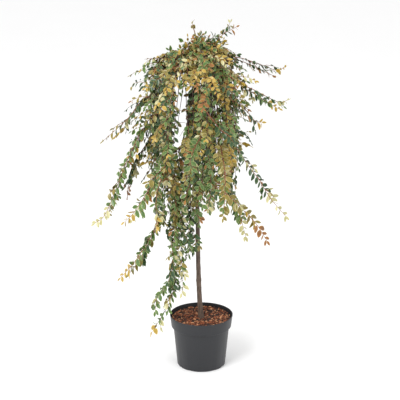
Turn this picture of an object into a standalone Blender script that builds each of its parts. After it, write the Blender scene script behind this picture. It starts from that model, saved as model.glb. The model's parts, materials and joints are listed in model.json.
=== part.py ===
"""Weeping cotoneaster grafted high on a bare stem, standing in a round nursery pot.

Metres, +Z up. The origin is the centre of the pot's flat underside. -Y is the front.
The crown is a ring of weeping tresses: each has a bough that leaves the stem's head, a
shoulder of foliage that arches over, and a curtain that hangs from it. Every tress keeps to
its own sector round the head, so that neighbours never cross. Shorter inner curtains hang
close to the stem, and long thin shoots reach out of the curtains to the furthest tips.
"""

import math
import random
from dataclasses import dataclass

import bmesh
import bpy
from mathutils import Vector
from mathutils.bvhtree import BVHTree

# Space between pieces that touch
GAP = 0.0003

# Pot, a three litre nursery pot
POT_HEIGHT = 0.160
RIM_R = 0.095
COLLAR_R = 0.0905
COLLAR_Z = 0.1235
BODY_TOP_R = 0.0845
BASE_R = 0.0728
FOOT_R = 0.0700
FOOT_BEVEL = 0.003
WALL = 0.0018
FLOOR_TOP = 0.0038
COLLAR_STEP = 0.0008
RIM_ROUNDING = 0.0006
POT_STEPS = 40
NOTCH_WIDTH = 0.014
NOTCH_HEIGHT = 0.004
NOTCH_PAIR_DEG = 31.0
NOTCH_FIRST_DEG = 227.5

# Soil
SOIL_TOP = 0.150
SOIL_EDGE_DROP = 0.002

# Stem, from the flat cut at the soil to the grafted head
STEM_FOOT_Z = SOIL_TOP + GAP
HEAD_Z = 0.885
STEM_TOP_Z = 0.906
STEM_FOOT_R = 0.0082
STEM_TOP_R = 0.0056
STEM_TAPER_POWER = 2.5
FLARE = 0.0022
FLARE_HEIGHT = 0.010
HEAD_SWELLING = 0.0056
HEAD_LENGTH = 0.016
STEM_KICK = 0.0087
STEM_KICK_HEIGHT = 0.08
STEM_LEAN = 0.0055
STEM_SIDES = 10
STEM_RINGS = 22
STEM_RING_BUNCHING = 0.09
STEM_LUMP_LOW = 0.95

# Boughs
BOUGH_ROOT_R = 0.0026
BOUGH_TIP_R = 0.0018
BOUGH_SIDES = 6
BOUGH_RINGS = 6
BOUGH_LOW_Z = 0.880
BOUGH_HIGH_Z = 0.890
LAUNCH_DEG = 64.0
ARCH_STRENGTH = 0.37
SHOULDER_FALL_DEG = -80.0
SHOULDER_FROM = 0.17
SEEK_FROM_R = 0.05

# Foliage of the tresses
TRESS_SIDES = 10
SHOULDER_RINGS = 7
CURTAIN_RINGS = 10
DOME_DEPTH = 0.028
CURTAIN_DEPTH = 0.018
LUMP_LOW = 0.82
DOME_LUMP_LOW = 0.90
SHOULDER_SWELL = 0.35
SHOULDER_ROOT_SIZE = 0.35
HEM_FROM = 0.6
HEM_DRIFT = 0.6
FULL_WIDTH = 0.06

# Inner curtains, seated on the stem under the boughs
INNER_Z = 0.846
INNER_ROOT_R = 0.0045
INNER_LAUNCH_DEG = 12.0
INNER_DEPTH = 0.017
INNER_PULL = 3.2
INNER_DROP = 0.9
INNER_SPREAD = 1.15
INNER_SWELL = 0.3
INNER_HEM_FROM = 0.6
INNER_HEM_SIZE = 0.4

# Long shoots
SHOOT_SIDES = 7
SHOOT_RINGS = 9
SHOOT_ROOT_R = 0.0014
SHOOT_TIP_R = 0.0022
SHOOT_FLATNESS = 0.55
SHOOT_RING_POWER = 1.25
SHOOT_SWELL = 0.22
SHOOT_TAPER_FROM = 0.6
SHOOT_TAPER_TO = 0.9
SHOOT_END_SIZE = 0.45
SEEK_STEP = 0.0004


@dataclass(frozen=True)
class Tress:
    """One bough with its shoulder and curtain, by direction and by the reach of each bend."""

    name: str
    azimuth: float
    shoulder_r: float
    shoulder_z: float
    hem_r: float
    hem_z: float
    half_width: float
    hem_size: float = 0.5


@dataclass(frozen=True)
class Inner:
    """One inner curtain, by direction, reach and the height of its hem."""

    name: str
    azimuth: float
    reach: float
    hem_z: float
    half_width: float


@dataclass(frozen=True)
class Shoot:
    """One long shoot: the mass and ring it leaves, its tip, its bow above the chord and its width."""

    name: str
    parent: str
    station: float
    tip: tuple
    bow: float
    half_width: float


TRESSES = (
    Tress("left", 180, 0.120, 0.900, 0.133, 0.49, 0.034),
    Tress("left_front", 208, 0.118, 0.895, 0.092, 0.46, 0.030, 0.8),
    Tress("front_left", 236, 0.132, 0.880, 0.160, 0.57, 0.022),
    Tress("front", 276, 0.112, 0.885, 0.135, 0.54, 0.028),
    Tress("front_right", 305, 0.106, 0.880, 0.122, 0.56, 0.030),
    Tress("right_front", 335, 0.098, 0.880, 0.112, 0.60, 0.028),
    Tress("right", 8, 0.096, 0.885, 0.112, 0.52, 0.030),
    Tress("back_right", 44, 0.104, 0.885, 0.130, 0.50, 0.032),
    Tress("back", 82, 0.112, 0.890, 0.130, 0.47, 0.028),
    Tress("back_left", 140, 0.118, 0.895, 0.128, 0.51, 0.030),
)

INNERS = (
    Inner("front", 255, 0.052, 0.375, 0.015),
    Inner("right_front", 318, 0.055, 0.50, 0.020),
    Inner("right", 22, 0.055, 0.56, 0.020),
    Inner("back", 86, 0.055, 0.48, 0.017),
)

SHOOTS = (
    Shoot("shoot_left_high", "curtain_left", 0.12, (-0.282, -0.030, 0.711), 0.004, 0.014),
    Shoot("shoot_left_far", "curtain_left", 0.34, (-0.309, -0.060, 0.470), 0.036, 0.014),
    Shoot("shoot_left_inner", "curtain_left", 0.46, (-0.219, 0.030, 0.524), 0.020, 0.011),
    Shoot("shoot_left_red", "curtain_front_left", 0.62, (-0.220, -0.130, 0.497), 0.010, 0.014),
    Shoot("shoot_left_low", "curtain_left_front", 0.90, (-0.238, -0.060, 0.300), 0.016, 0.014),
    Shoot("shoot_right_high", "shoulder_right", 0.62, (0.240, 0.020, 0.916), 0.012, 0.013),
    Shoot("shoot_right_upper", "shoulder_right_front", 0.96, (0.243, -0.040, 0.832), 0.006, 0.013),
    Shoot("shoot_right_short", "curtain_right_front", 0.16, (0.172, -0.040, 0.768), 0.006, 0.011),
    Shoot("shoot_right_long", "curtain_front", 0.14, (0.238, -0.170, 0.528), 0.010, 0.015),
    Shoot("shoot_right_low", "curtain_front_right", 0.86, (0.188, -0.130, 0.440), 0.010, 0.015),
    Shoot("shoot_right_inner", "curtain_right_front", 0.92, (0.130, -0.070, 0.432), 0.006, 0.013),
    Shoot("shoot_front_high", "curtain_front", 0.40, (-0.045, -0.250, 0.655), 0.012, 0.013),
    Shoot("shoot_front_right", "curtain_front_right", 0.52, (0.060, -0.240, 0.545), 0.014, 0.013),
    Shoot("shoot_front_left", "curtain_front_left", 0.74, (-0.125, -0.222, 0.510), 0.008, 0.013),
    Shoot("shoot_back_high", "curtain_back", 0.18, (-0.018, 0.260, 0.745), 0.012, 0.013),
    Shoot("shoot_back_right", "curtain_back_right", 0.36, (0.095, 0.230, 0.600), 0.014, 0.013),
    Shoot("shoot_back_left", "curtain_back_left", 0.52, (-0.115, 0.235, 0.560), 0.014, 0.013),
    Shoot("shoot_back_low", "curtain_back", 0.70, (0.030, 0.225, 0.420), 0.012, 0.013),
    Shoot("top_shoot", "crown_centre", 0.80, (0.098, 0.000, 1.036), 0.002, 0.012),
    Shoot("top_spike", "crown_centre", 0.90, (-0.024, 0.000, 1.042), 0.000, 0.006),
)

# The tress that hangs on below the left front curtain, down beside the pot
LOWER_BEND = (-0.080, -0.048, 0.290)
LOWER_TIP = (-0.132, -0.060, 0.148)
LOWER_WIDTH = 0.022
LOWER_DEPTH = 0.014
LOWER_TOP_SIZE = 0.6
LOWER_TIP_SIZE = 0.12
LOWER_TAPER_FROM = 0.35
LOWER_SEAT = 2 * GAP

# Centre of the crown: height above the stem's top and radius, from the stem upward
CENTRE_PROFILE = (
    (0.000, 0.0050),
    (0.020, 0.0085),
    (0.045, 0.0110),
    (0.066, 0.0180),
    (0.088, 0.0340),
    (0.102, 0.0400),
    (0.111, 0.0260),
    (0.116, 0.0090),
)
CENTRE_SIDES = 10

UP = Vector((0, 0, 1))
SKIN_STEP = 1e-6
MASSES = {}


def make_material(name, colour, roughness):
    """A Principled material of one base colour."""
    material = bpy.data.materials.new(name)
    material.use_nodes = True
    shader = material.node_tree.nodes["Principled BSDF"]
    shader.inputs["Base Color"].default_value = (*colour, 1.0)
    shader.inputs["Roughness"].default_value = roughness
    shader.inputs["Metallic"].default_value = 0.0
    return material


def add_object(name, bm, material):
    """Turns a bmesh into a smooth shaded object of one material."""
    mesh = bpy.data.meshes.new(name)
    bm.to_mesh(mesh)
    bm.free()
    mesh.shade_smooth()
    mesh.set_sharp_from_angle(angle=math.radians(40))
    mesh.materials.append(material)
    obj = bpy.data.objects.new(name, mesh)
    bpy.context.scene.collection.objects.link(obj)
    return obj


def loft(rings):
    """A closed bmesh through rings of equally many points, extruded from one to the next."""
    bm = bmesh.new()
    face = bm.faces.new([bm.verts.new(point) for point in rings[0]])
    for ring in rings[1:]:
        face = bmesh.ops.extrude_discrete_faces(bm, faces=[face])["faces"][0]
        for vert, point in zip(face.verts, ring):
            vert.co = point
    bmesh.ops.holes_fill(bm, edges=bm.edges, sides=0)
    bmesh.ops.triangulate(bm, faces=bm.faces)
    bmesh.ops.recalc_face_normals(bm, faces=bm.faces)
    return bm


def turn(profile, steps):
    """A closed bmesh turned round Z from (radius, height) points that start and end on the axis."""
    bm = bmesh.new()
    verts = [bm.verts.new((radius, 0, height)) for radius, height in profile]
    edges = [bm.edges.new(pair) for pair in zip(verts, verts[1:])]
    axis = {"cent": (0, 0, 0), "axis": (0, 0, 1)}
    bmesh.ops.spin(bm, geom=verts + edges, angle=math.tau, steps=steps, **axis)
    bmesh.ops.remove_doubles(bm, verts=bm.verts, dist=1e-5)
    bmesh.ops.recalc_face_normals(bm, faces=bm.faces)
    return bm


def lerp(low, high, share):
    """The value a share of the way from low to high."""
    return low + (high - low) * share


def smooth(share):
    """A share eased at both ends and kept between 0 and 1."""
    share = min(max(share, 0.0), 1.0)
    return share * share * (3 - 2 * share)


def hermite(start, leaving, end, arriving, share):
    """A point of the cubic between two points with given tangents."""
    s2 = share * share
    s3 = s2 * share
    return (
        start * (2 * s3 - 3 * s2 + 1)
        + leaving * (s3 - 2 * s2 + share)
        + end * (3 * s2 - 2 * s3)
        + arriving * (s3 - s2)
    )


def heading(degrees, length):
    """A vector in the (radius, height) plane at an angle above the horizontal."""
    angle = math.radians(degrees)
    return Vector((math.cos(angle), math.sin(angle))) * length


def stem_x(z):
    """Sideways place of the stem's axis: a kick at its foot, then a slight lean."""
    above = max(z - STEM_FOOT_Z, 0.0)
    kick = STEM_KICK * (1 - math.exp(-above / STEM_KICK_HEIGHT))
    return -kick - STEM_LEAN * above / (STEM_TOP_Z - STEM_FOOT_Z)


HEAD_X = stem_x(HEAD_Z)


def stem_radius(z):
    """Radius of the stem: root flare, taper and the swollen graft."""
    above = z - STEM_FOOT_Z
    share = above / (STEM_TOP_Z - STEM_FOOT_Z)
    taper = lerp(STEM_TOP_R, STEM_FOOT_R, (1 - min(share, 1.0)) ** STEM_TAPER_POWER)
    flare = FLARE * math.exp(-above / FLARE_HEIGHT)
    graft = HEAD_SWELLING * math.exp(-(((z - HEAD_Z) / HEAD_LENGTH) ** 2))
    return taper + flare + graft


class Meridian:
    """The upright plane through the head in one direction, with its two neighbours' bounds."""

    def __init__(self, azimuth, before, after):
        angle = math.radians(azimuth)
        self.out = Vector((math.cos(angle), math.sin(angle), 0))
        self.across = Vector((-math.sin(angle), math.cos(angle), 0))
        self.before = math.radians((azimuth - before) % 360 / 2)
        self.after = math.radians((after - azimuth) % 360 / 2)

    def place(self, point):
        """World place of a (radius, height) point."""
        return Vector((HEAD_X, 0, point.y)) + self.out * point.x

    def room(self, radius, depth, half_angle):
        """Half width that a section of this depth may have inside its sector."""
        inside = max(radius * radius - depth * depth, 1e-6)
        return math.tan(half_angle) * math.sqrt(inside) - GAP


def section(centre, side_axis, depth_axis, left, right, depth, lumps):
    """A flat uneven ring round a centre, one point for each lump."""
    ring = []
    for index, lump in enumerate(lumps):
        angle = math.tau * (index + 0.5) / len(lumps)
        side = left if math.cos(angle) > 0 else right
        offset = side_axis * (side * math.cos(angle)) + depth_axis * (depth * math.sin(angle))
        ring.append(centre + offset * lump)
    return ring


def uneven(seed, sides, lowest):
    """Lumps of one ring, between the lowest and 1."""
    return [seed.uniform(lowest, 1.0) for _ in range(sides)]


def add_mass(name, rings, material):
    """A closed mass through its rings, kept for the shoots that leave it."""
    bm = loft(rings)
    centres = [sum(ring, Vector()) / len(ring) for ring in rings]
    MASSES[name] = (centres, BVHTree.FromBMesh(bm))
    return add_object(name, bm, material)


def seat_on_stem(stem, meridian, z, half_size):
    """(radius, height) just off the stem's skin, clear of it over a small upright patch."""
    reach = 0.0
    for index in range(3 * BOUGH_SIDES):
        angle = math.tau * index / BOUGH_SIDES
        offset = half_size * (index // BOUGH_SIDES) / 2
        start = meridian.place(Vector((SEEK_FROM_R, z + offset * math.sin(angle))))
        start += meridian.across * offset * math.cos(angle)
        distance = stem.ray_cast(start, -meridian.out)[3]
        if distance is not None:
            reach = max(reach, SEEK_FROM_R - distance)
    return Vector((reach + GAP, z))


def tress_point(tress, root, share):
    """(radius, height) along a tress: 0 to 1 is bough and shoulder, 1 to 2 the curtain."""
    shoulder = Vector((tress.shoulder_r, tress.shoulder_z))
    fall = heading(SHOULDER_FALL_DEG, ARCH_STRENGTH)
    if share <= 1:
        return hermite(root, heading(LAUNCH_DEG, ARCH_STRENGTH), shoulder, fall, share)
    hem = Vector((tress.hem_r, tress.hem_z))
    drop = tress.shoulder_z - tress.hem_z
    ending = Vector(((tress.hem_r - tress.shoulder_r) * HEM_DRIFT, -drop))
    return hermite(shoulder, fall, hem, ending, share - 1)


def tress_heading(tress, root, share):
    """Unit direction of a tress in its plane."""
    step = 1e-3
    ahead = tress_point(tress, root, min(share + step, 2.0))
    behind = tress_point(tress, root, max(share - step, 0.0))
    return (ahead - behind).normalized()


def tress_section(tress, meridian, root, share, lumps):
    """One ring of a tress, across its route and inside its sector."""
    point = tress_point(tress, root, share)
    along = tress_heading(tress, root, share)
    normal = Vector((-along.y, along.x))
    swell = smooth((share - SHOULDER_FROM) / SHOULDER_SWELL)
    if share <= 1:
        depth = lerp(DOME_DEPTH, CURTAIN_DEPTH, smooth(share * 2 - 1))
        depth *= lerp(SHOULDER_ROOT_SIZE, 1.0, swell)
        width = FULL_WIDTH
    else:
        hang = share - 1
        ends = lerp(1.0, tress.hem_size, smooth((hang - HEM_FROM) / (1 - HEM_FROM)))
        depth = CURTAIN_DEPTH * ends
        width = lerp(FULL_WIDTH, tress.half_width, smooth(hang * 4)) * ends
    radial = abs(normal.x) * depth
    left = min(meridian.room(point.x, radial, meridian.after), width)
    right = min(meridian.room(point.x, radial, meridian.before), width)
    depth_axis = meridian.out * normal.x + Vector((0, 0, normal.y))
    centre = meridian.place(point)
    return section(centre, meridian.across, depth_axis, left, right, depth, lumps)


def moved(ring, offset):
    """A ring shifted by a vector."""
    return [point + offset for point in ring]


def build_bough(tress, meridian, root, material):
    """One tapering limb from the stem's head to the foot of its shoulder."""
    rings = []
    for index in range(BOUGH_RINGS):
        step = index / (BOUGH_RINGS - 1)
        share = SHOULDER_FROM * step
        point = tress_point(tress, root, share)
        along = tress_heading(tress, root, share)
        if index == 0:
            along = Vector((1, 0))
        if index == BOUGH_RINGS - 1:
            point = point - along * GAP
        depth_axis = meridian.out * -along.y + Vector((0, 0, along.x))
        radius = lerp(BOUGH_ROOT_R, BOUGH_TIP_R, step)
        centre = meridian.place(point)
        round_ring = [1.0] * BOUGH_SIDES
        rings.append(
            section(centre, meridian.across, depth_axis, radius, radius, radius, round_ring)
        )
    add_object("bough_" + tress.name, loft(rings), material)


def build_tress(tress, meridian, root, dome, curtain):
    """The shoulder and the curtain of one tress, which meet on one flat ring."""
    seed = random.Random("tress " + tress.name)
    rings = []
    for index in range(SHOULDER_RINGS):
        share = lerp(SHOULDER_FROM, 1.0, index / (SHOULDER_RINGS - 1))
        lumps = uneven(seed, TRESS_SIDES, DOME_LUMP_LOW)
        rings.append(tress_section(tress, meridian, root, share, lumps))
    add_mass("shoulder_" + tress.name, rings, dome)
    along = tress_heading(tress, root, 1.0)
    apart = (meridian.out * along.x + Vector((0, 0, along.y))) * GAP
    rings = [moved(rings[-1], apart)]
    for index in range(1, CURTAIN_RINGS):
        share = 1 + index / (CURTAIN_RINGS - 1)
        lumps = uneven(seed, TRESS_SIDES, LUMP_LOW)
        rings.append(tress_section(tress, meridian, root, share, lumps))
    add_mass("curtain_" + tress.name, rings, curtain)


def build_tresses(stem, bark, dome, curtain):
    """All the outer tresses, each between the directions of its two neighbours."""
    count = len(TRESSES)
    for index, tress in enumerate(TRESSES):
        before = TRESSES[index - 1].azimuth
        after = TRESSES[(index + 1) % count].azimuth
        meridian = Meridian(tress.azimuth, before, after)
        root_z = BOUGH_LOW_Z if index % 2 else BOUGH_HIGH_Z
        root = seat_on_stem(stem, meridian, root_z, BOUGH_ROOT_R)
        build_bough(tress, meridian, root, bark)
        build_tress(tress, meridian, root, dome, curtain)


def build_inner(stem, inner, before, after, material):
    """One inner curtain, from the stem out and down."""
    meridian = Meridian(inner.azimuth, before, after)
    seed = random.Random("inner " + inner.name)
    root = seat_on_stem(stem, meridian, INNER_Z, 2 * INNER_ROOT_R)
    hem = Vector((inner.reach * INNER_SPREAD, inner.hem_z))
    leaving = heading(INNER_LAUNCH_DEG, inner.reach * INNER_PULL)
    falling = Vector((0, inner.hem_z - INNER_Z)) * INNER_DROP
    rings = []
    for index in range(CURTAIN_RINGS + 1):
        share = index / CURTAIN_RINGS
        point = hermite(root, leaving, hem, falling, share)
        ahead = hermite(root, leaving, hem, falling, share + 1e-3)
        along = (ahead - point).normalized() if index else Vector((1, 0))
        hem_share = smooth((share - INNER_HEM_FROM) / (1 - INNER_HEM_FROM))
        swell = smooth(share / INNER_SWELL) * lerp(1.0, INNER_HEM_SIZE, hem_share)
        depth = lerp(INNER_ROOT_R, INNER_DEPTH, swell)
        width = lerp(INNER_ROOT_R, inner.half_width, swell)
        radial = abs(along.y) * depth
        left = min(meridian.room(point.x, radial, meridian.after), width)
        right = min(meridian.room(point.x, radial, meridian.before), width)
        depth_axis = meridian.out * -along.y + Vector((0, 0, along.x))
        lumps = uneven(seed, TRESS_SIDES, LUMP_LOW)
        centre = meridian.place(point)
        rings.append(
            section(centre, meridian.across, depth_axis, left, right, depth, lumps)
        )
    add_mass("inner_" + inner.name, rings, material)


def build_inners(stem, material):
    """All the inner curtains."""
    for index, inner in enumerate(INNERS):
        before = INNERS[index - 1].azimuth
        after = INNERS[(index + 1) % len(INNERS)].azimuth
        build_inner(stem, inner, before, after, material)


def build_centre(material):
    """The tuft that fills the middle of the crown, above the stem's top."""
    seed = random.Random("crown centre")
    across = Vector((1, 0, 0))
    back = Vector((0, 1, 0))
    rings = []
    for rise, radius in CENTRE_PROFILE:
        centre = Vector((HEAD_X, 0, STEM_TOP_Z + GAP + rise))
        lumps = uneven(seed, CENTRE_SIDES, DOME_LUMP_LOW)
        rings.append(section(centre, across, back, radius, radius, radius, lumps))
    add_mass("crown_centre", rings, material)


def frame_of(along):
    """Two axes across a direction: one level, one upright."""
    level = along.cross(Vector((0, 0, 1)))
    if level.length < 1e-3:
        level = Vector((1, 0, 0))
    level.normalize()
    return level, level.cross(along).normalized()


def clearance(point):
    """Distance from a point to the nearest mass built so far."""
    return min(tree.find_nearest(point)[3] for _, tree in MASSES.values())


def inside(tree, point):
    """Whether a point lies in a closed mass: a ray up from it leaves the skin an odd number of times."""
    crossings = 0
    hit = tree.ray_cast(point, UP)[0]
    while hit is not None:
        crossings += 1
        hit = tree.ray_cast(hit + UP * SKIN_STEP, UP)[0]
    return crossings % 2 == 1


def is_clear(point):
    """Whether a point lies outside every mass built so far, by at least the gap."""
    trees = [tree for _, tree in MASSES.values()]
    return clearance(point) >= GAP and not any(inside(tree, point) for tree in trees)


def ring_at(path, share, width, depth, lumps):
    """A ring of a shoot on its path."""
    point = path(share)
    along = (path(share + 1e-3) - path(share - 1e-3)).normalized()
    level, upright = frame_of(along)
    return section(point, level, upright, width, width, depth, lumps)


def build_shoot(shoot, material):
    """One long shoot: it leaves the skin of its parent and ends at its tip."""
    centres, _ = MASSES[shoot.parent]
    place = shoot.station * (len(centres) - 1)
    low = min(int(place), len(centres) - 2)
    root = centres[low].lerp(centres[low + 1], place - low)
    tip = Vector(shoot.tip)
    length = (tip - root).length

    def path(share):
        bow = 4 * share * (1 - share) * shoot.bow
        return root.lerp(tip, share) + Vector((0, 0, bow))

    round_ring = [1.0] * SHOOT_SIDES
    start = 0.0
    while not all(
        is_clear(point)
        for point in ring_at(path, start, SHOOT_ROOT_R, SHOOT_ROOT_R, round_ring)
    ):
        start += SEEK_STEP / length
    seed = random.Random(shoot.name)
    rings = []
    for index in range(SHOOT_RINGS):
        step = index / (SHOOT_RINGS - 1)
        share = lerp(start, 1.0, step**SHOOT_RING_POWER)
        taper = smooth((step - SHOOT_TAPER_FROM) / (SHOOT_TAPER_TO - SHOOT_TAPER_FROM))
        swell = smooth(step / SHOOT_SWELL) * lerp(1.0, SHOOT_END_SIZE, taper)
        width = lerp(SHOOT_ROOT_R, shoot.half_width, swell)
        lumps = uneven(seed, SHOOT_SIDES, LUMP_LOW)
        if index == 0:
            lumps = round_ring
        elif index == SHOOT_RINGS - 1:
            width = SHOOT_TIP_R
        else:
            width = min(width, max(clearance(path(share)) - 2 * GAP, SHOOT_ROOT_R))
        depth = max(width * SHOOT_FLATNESS, SHOOT_ROOT_R)
        rings.append(ring_at(path, share, width, depth, lumps))
    add_mass(shoot.name, rings, material)


def build_lower_tress(material):
    """The tress that hangs on from the left front curtain and swings out at its foot."""
    centres, _ = MASSES["curtain_left_front"]
    seed = random.Random("lower tress")
    top = centres[-1]
    along = (centres[-1] - centres[-2]).normalized()
    bend = Vector(LOWER_BEND)
    tip = Vector(LOWER_TIP)
    rings = []
    for index in range(CURTAIN_RINGS):
        share = index / (CURTAIN_RINGS - 1)
        start = top + along * LOWER_SEAT
        point = start * (1 - share) ** 2 + bend * 2 * share * (1 - share) + tip * share**2
        ahead = (bend - start) * (1 - share) + (tip - bend) * share
        direction = along if index == 0 else ahead.normalized()
        side = direction.cross(Vector((0, 1, 0))).normalized()
        taper = smooth((share - LOWER_TAPER_FROM) / (1 - LOWER_TAPER_FROM))
        width = LOWER_WIDTH * lerp(LOWER_TOP_SIZE, 1.0, smooth(share * 6))
        width *= lerp(1.0, LOWER_TIP_SIZE, taper)
        depth = width * LOWER_DEPTH / LOWER_WIDTH
        lumps = uneven(seed, TRESS_SIDES, LUMP_LOW)
        rings.append(
            section(point, side, direction.cross(side), width, width, depth, lumps)
        )
    add_mass("lower_tress", rings, material)


def build_stem(material):
    """The stem, its rings closer together at the foot and at the graft. Returns its skin."""
    seed = random.Random("stem")
    rings = []
    for index in range(STEM_RINGS):
        share = index / (STEM_RINGS - 1)
        bunched = share - STEM_RING_BUNCHING * math.sin(math.tau * share)
        z = lerp(STEM_FOOT_Z, STEM_TOP_Z, bunched)
        radius = stem_radius(z)
        centre = Vector((stem_x(z), 0, z))
        lumps = uneven(seed, STEM_SIDES, STEM_LUMP_LOW)
        sides = (radius, radius, radius)
        rings.append(section(centre, Vector((1, 0, 0)), Vector((0, 1, 0)), *sides, lumps))
    bm = loft(rings)
    skin = BVHTree.FromBMesh(bm)
    add_object("trunk", bm, material)
    return skin


def inner_wall():
    """(radius, height) points of the pot's inside, from the rim down to the floor."""
    return (
        (RIM_R - WALL, POT_HEIGHT),
        (COLLAR_R - WALL, COLLAR_Z + COLLAR_STEP + WALL),
        (BODY_TOP_R - WALL, COLLAR_Z + WALL),
        (BASE_R - WALL, FLOOR_TOP),
    )


def build_pot(material):
    """The pot: one turned shell, with a collar and pairs of drain notches at its foot."""
    outside_wall = (
        (0, 0),
        (FOOT_R, 0),
        (BASE_R, FOOT_BEVEL),
        (BODY_TOP_R, COLLAR_Z),
        (COLLAR_R, COLLAR_Z + COLLAR_STEP),
        (RIM_R - RIM_ROUNDING, POT_HEIGHT - 3 * RIM_ROUNDING),
        (RIM_R, POT_HEIGHT - RIM_ROUNDING),
        (RIM_R - RIM_ROUNDING, POT_HEIGHT),
    )
    profile = outside_wall + inner_wall() + ((0, FLOOR_TOP),)
    pot = add_object("pot", turn(profile, POT_STEPS), material)
    for quarter in range(4):
        for side in (-0.5, 0.5):
            azimuth = NOTCH_FIRST_DEG + 90 * quarter + NOTCH_PAIR_DEG * side
            cut_notch(pot, math.radians(azimuth))


def cut_notch(pot, angle):
    """One drain notch, a block taken out of the pot's lower edge."""
    bm = bmesh.new()
    bmesh.ops.create_cube(bm, size=1)
    bmesh.ops.scale(bm, vec=(0.02, NOTCH_WIDTH, 2 * NOTCH_HEIGHT), verts=bm.verts)
    cutter = add_object("notch_cutter", bm, pot.data.materials[0])
    cutter.location = (BASE_R * math.cos(angle), BASE_R * math.sin(angle), 0)
    cutter.rotation_euler = (0, 0, angle)
    cutter.hide_render = True
    cutter.display_type = "WIRE"
    cut = pot.modifiers.new("drain_notch", "BOOLEAN")
    cut.operation = "DIFFERENCE"
    cut.object = cutter


def build_soil(material):
    """The soil plug inside the pot, level round the stem and a little lower at its edge."""
    wall = inner_wall()
    slope = (wall[0][0] - wall[1][0]) / (wall[0][1] - wall[1][1])
    edge_z = SOIL_TOP - SOIL_EDGE_DROP
    edge_r = wall[1][0] + slope * (edge_z - wall[1][1]) - GAP
    profile = (
        (0, wall[3][1] + GAP),
        (wall[3][0] - GAP, wall[3][1] + GAP),
        (wall[2][0] - GAP, wall[2][1] + GAP),
        (wall[1][0] - GAP, wall[1][1] + GAP),
        (edge_r, edge_z),
        (edge_r * 0.7, SOIL_TOP - 0.0004),
        (0.02, SOIL_TOP),
        (0, SOIL_TOP),
    )
    add_object("soil", turn(profile, POT_STEPS), material)


def main():
    """Clears the scene and builds the plant in its pot."""
    for obj in list(bpy.data.objects):
        bpy.data.objects.remove(obj)
    plastic = make_material("pot_plastic", (0.045, 0.052, 0.058), 0.45)
    chips = make_material("bark_chips", (0.28, 0.09, 0.035), 0.9)
    bark = make_material("stem_bark", (0.16, 0.115, 0.09), 0.85)
    dome = make_material("dome_foliage", (0.13, 0.12, 0.035), 0.6)
    curtain = make_material("curtain_foliage", (0.07, 0.12, 0.045), 0.6)
    young = make_material("shoot_foliage", (0.22, 0.19, 0.06), 0.6)
    build_pot(plastic)
    build_soil(chips)
    stem = build_stem(bark)
    build_tresses(stem, bark, dome, curtain)
    build_inners(stem, curtain)
    build_centre(dome)
    build_lower_tress(curtain)
    for shoot in SHOOTS:
        build_shoot(shoot, young)


main()
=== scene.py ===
"""Looks of a potted weeping cotoneaster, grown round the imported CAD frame.

The plant stands on the floor with +Z up and the camera on its -Y side. The stem and its boughs are
meshes with bark relief. Strands start where the boughs leave the stem's head, arch over the dome and
hang in curtains. They carry side twigs, and every twig is dealt leaves of its own tint. All choices
come from one seed. Sizes are in metres unless a name says otherwise.
"""

import json
import logging
import math
import random
from collections.abc import Callable, Sequence
from dataclasses import dataclass, field
from enum import Enum
from itertools import product

import bmesh
import bpy
from mathutils import Matrix, Vector, noise

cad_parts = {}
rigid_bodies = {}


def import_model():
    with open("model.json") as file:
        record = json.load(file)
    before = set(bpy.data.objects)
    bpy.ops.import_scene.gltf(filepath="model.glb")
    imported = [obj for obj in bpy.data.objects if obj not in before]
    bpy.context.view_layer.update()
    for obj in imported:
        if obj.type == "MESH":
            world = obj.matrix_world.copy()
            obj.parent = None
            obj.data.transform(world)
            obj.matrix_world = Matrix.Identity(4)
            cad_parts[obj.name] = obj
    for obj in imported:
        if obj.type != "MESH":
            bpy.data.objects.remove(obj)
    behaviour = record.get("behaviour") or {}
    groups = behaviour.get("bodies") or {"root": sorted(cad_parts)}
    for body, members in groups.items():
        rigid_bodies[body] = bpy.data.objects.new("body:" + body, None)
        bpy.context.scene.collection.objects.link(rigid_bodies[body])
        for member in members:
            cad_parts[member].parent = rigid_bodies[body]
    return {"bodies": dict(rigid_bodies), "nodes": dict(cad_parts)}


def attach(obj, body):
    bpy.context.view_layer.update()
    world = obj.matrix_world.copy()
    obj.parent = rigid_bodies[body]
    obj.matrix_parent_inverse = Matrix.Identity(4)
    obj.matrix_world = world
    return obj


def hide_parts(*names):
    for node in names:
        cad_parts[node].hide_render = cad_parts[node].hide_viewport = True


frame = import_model()

LOG = logging.getLogger("cotoneaster")
SEED = 41
BODY = "root"
UP = Vector((0, 0, 1))
VIEW_TRANSFORM = "Standard"

Colour = tuple[float, float, float]
Span = tuple[float, float]
Place = tuple[float, float, float]
Face = tuple[int, ...]

# The photograph's camera
IMAGE_SIZE = 400
CAMERA_PLACE = Vector((-0.0039, -4.0, 1.79))
CAMERA_PITCH_DEG = 17.6
CAMERA_FOCAL_PX = 1423.0
SENSOR_MM = 36.0

# The routes of boughs and strands
HIGH_ROOT_Z, LOW_ROOT_Z = 0.890, 0.880
ROOT_DEPTH = 0.6
LAUNCH_DEG = 64.0
LAUNCH_GAIN_DEG = 90
LAUNCH_MOST = 0.2
SHOULDER_FALL_DEG = -80.0
SHOULDER_HANDLE = (0.035, 0.25)
ARCH_SPREAD = 0.3
HANGING_HANDLE = 0.3
HEM_OUT, HEM_ACROSS = 0.7, 0.8
PATH_STEP = 0.009
MIDDLE_LIFT = 0.10
NEAR_AXIS = 1e-4

# The thickness of strands, shoots and twigs
STRAND_ROOT_R = 0.0015
STRAND_TIP_R = 0.0006
SHOULDER_STRAND_R = STRAND_ROOT_R * 0.8
SHOOT_ROOT_R = 0.0017
TWIG_ROOT_R = 0.00085
TWIG_TIP_R = 0.0004
BARK_OFFSET = 0.004

# How far a gap's sides draw in at its foot
GAP_TAPER = 0.5
GAP_SIDE = 0.6

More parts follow.
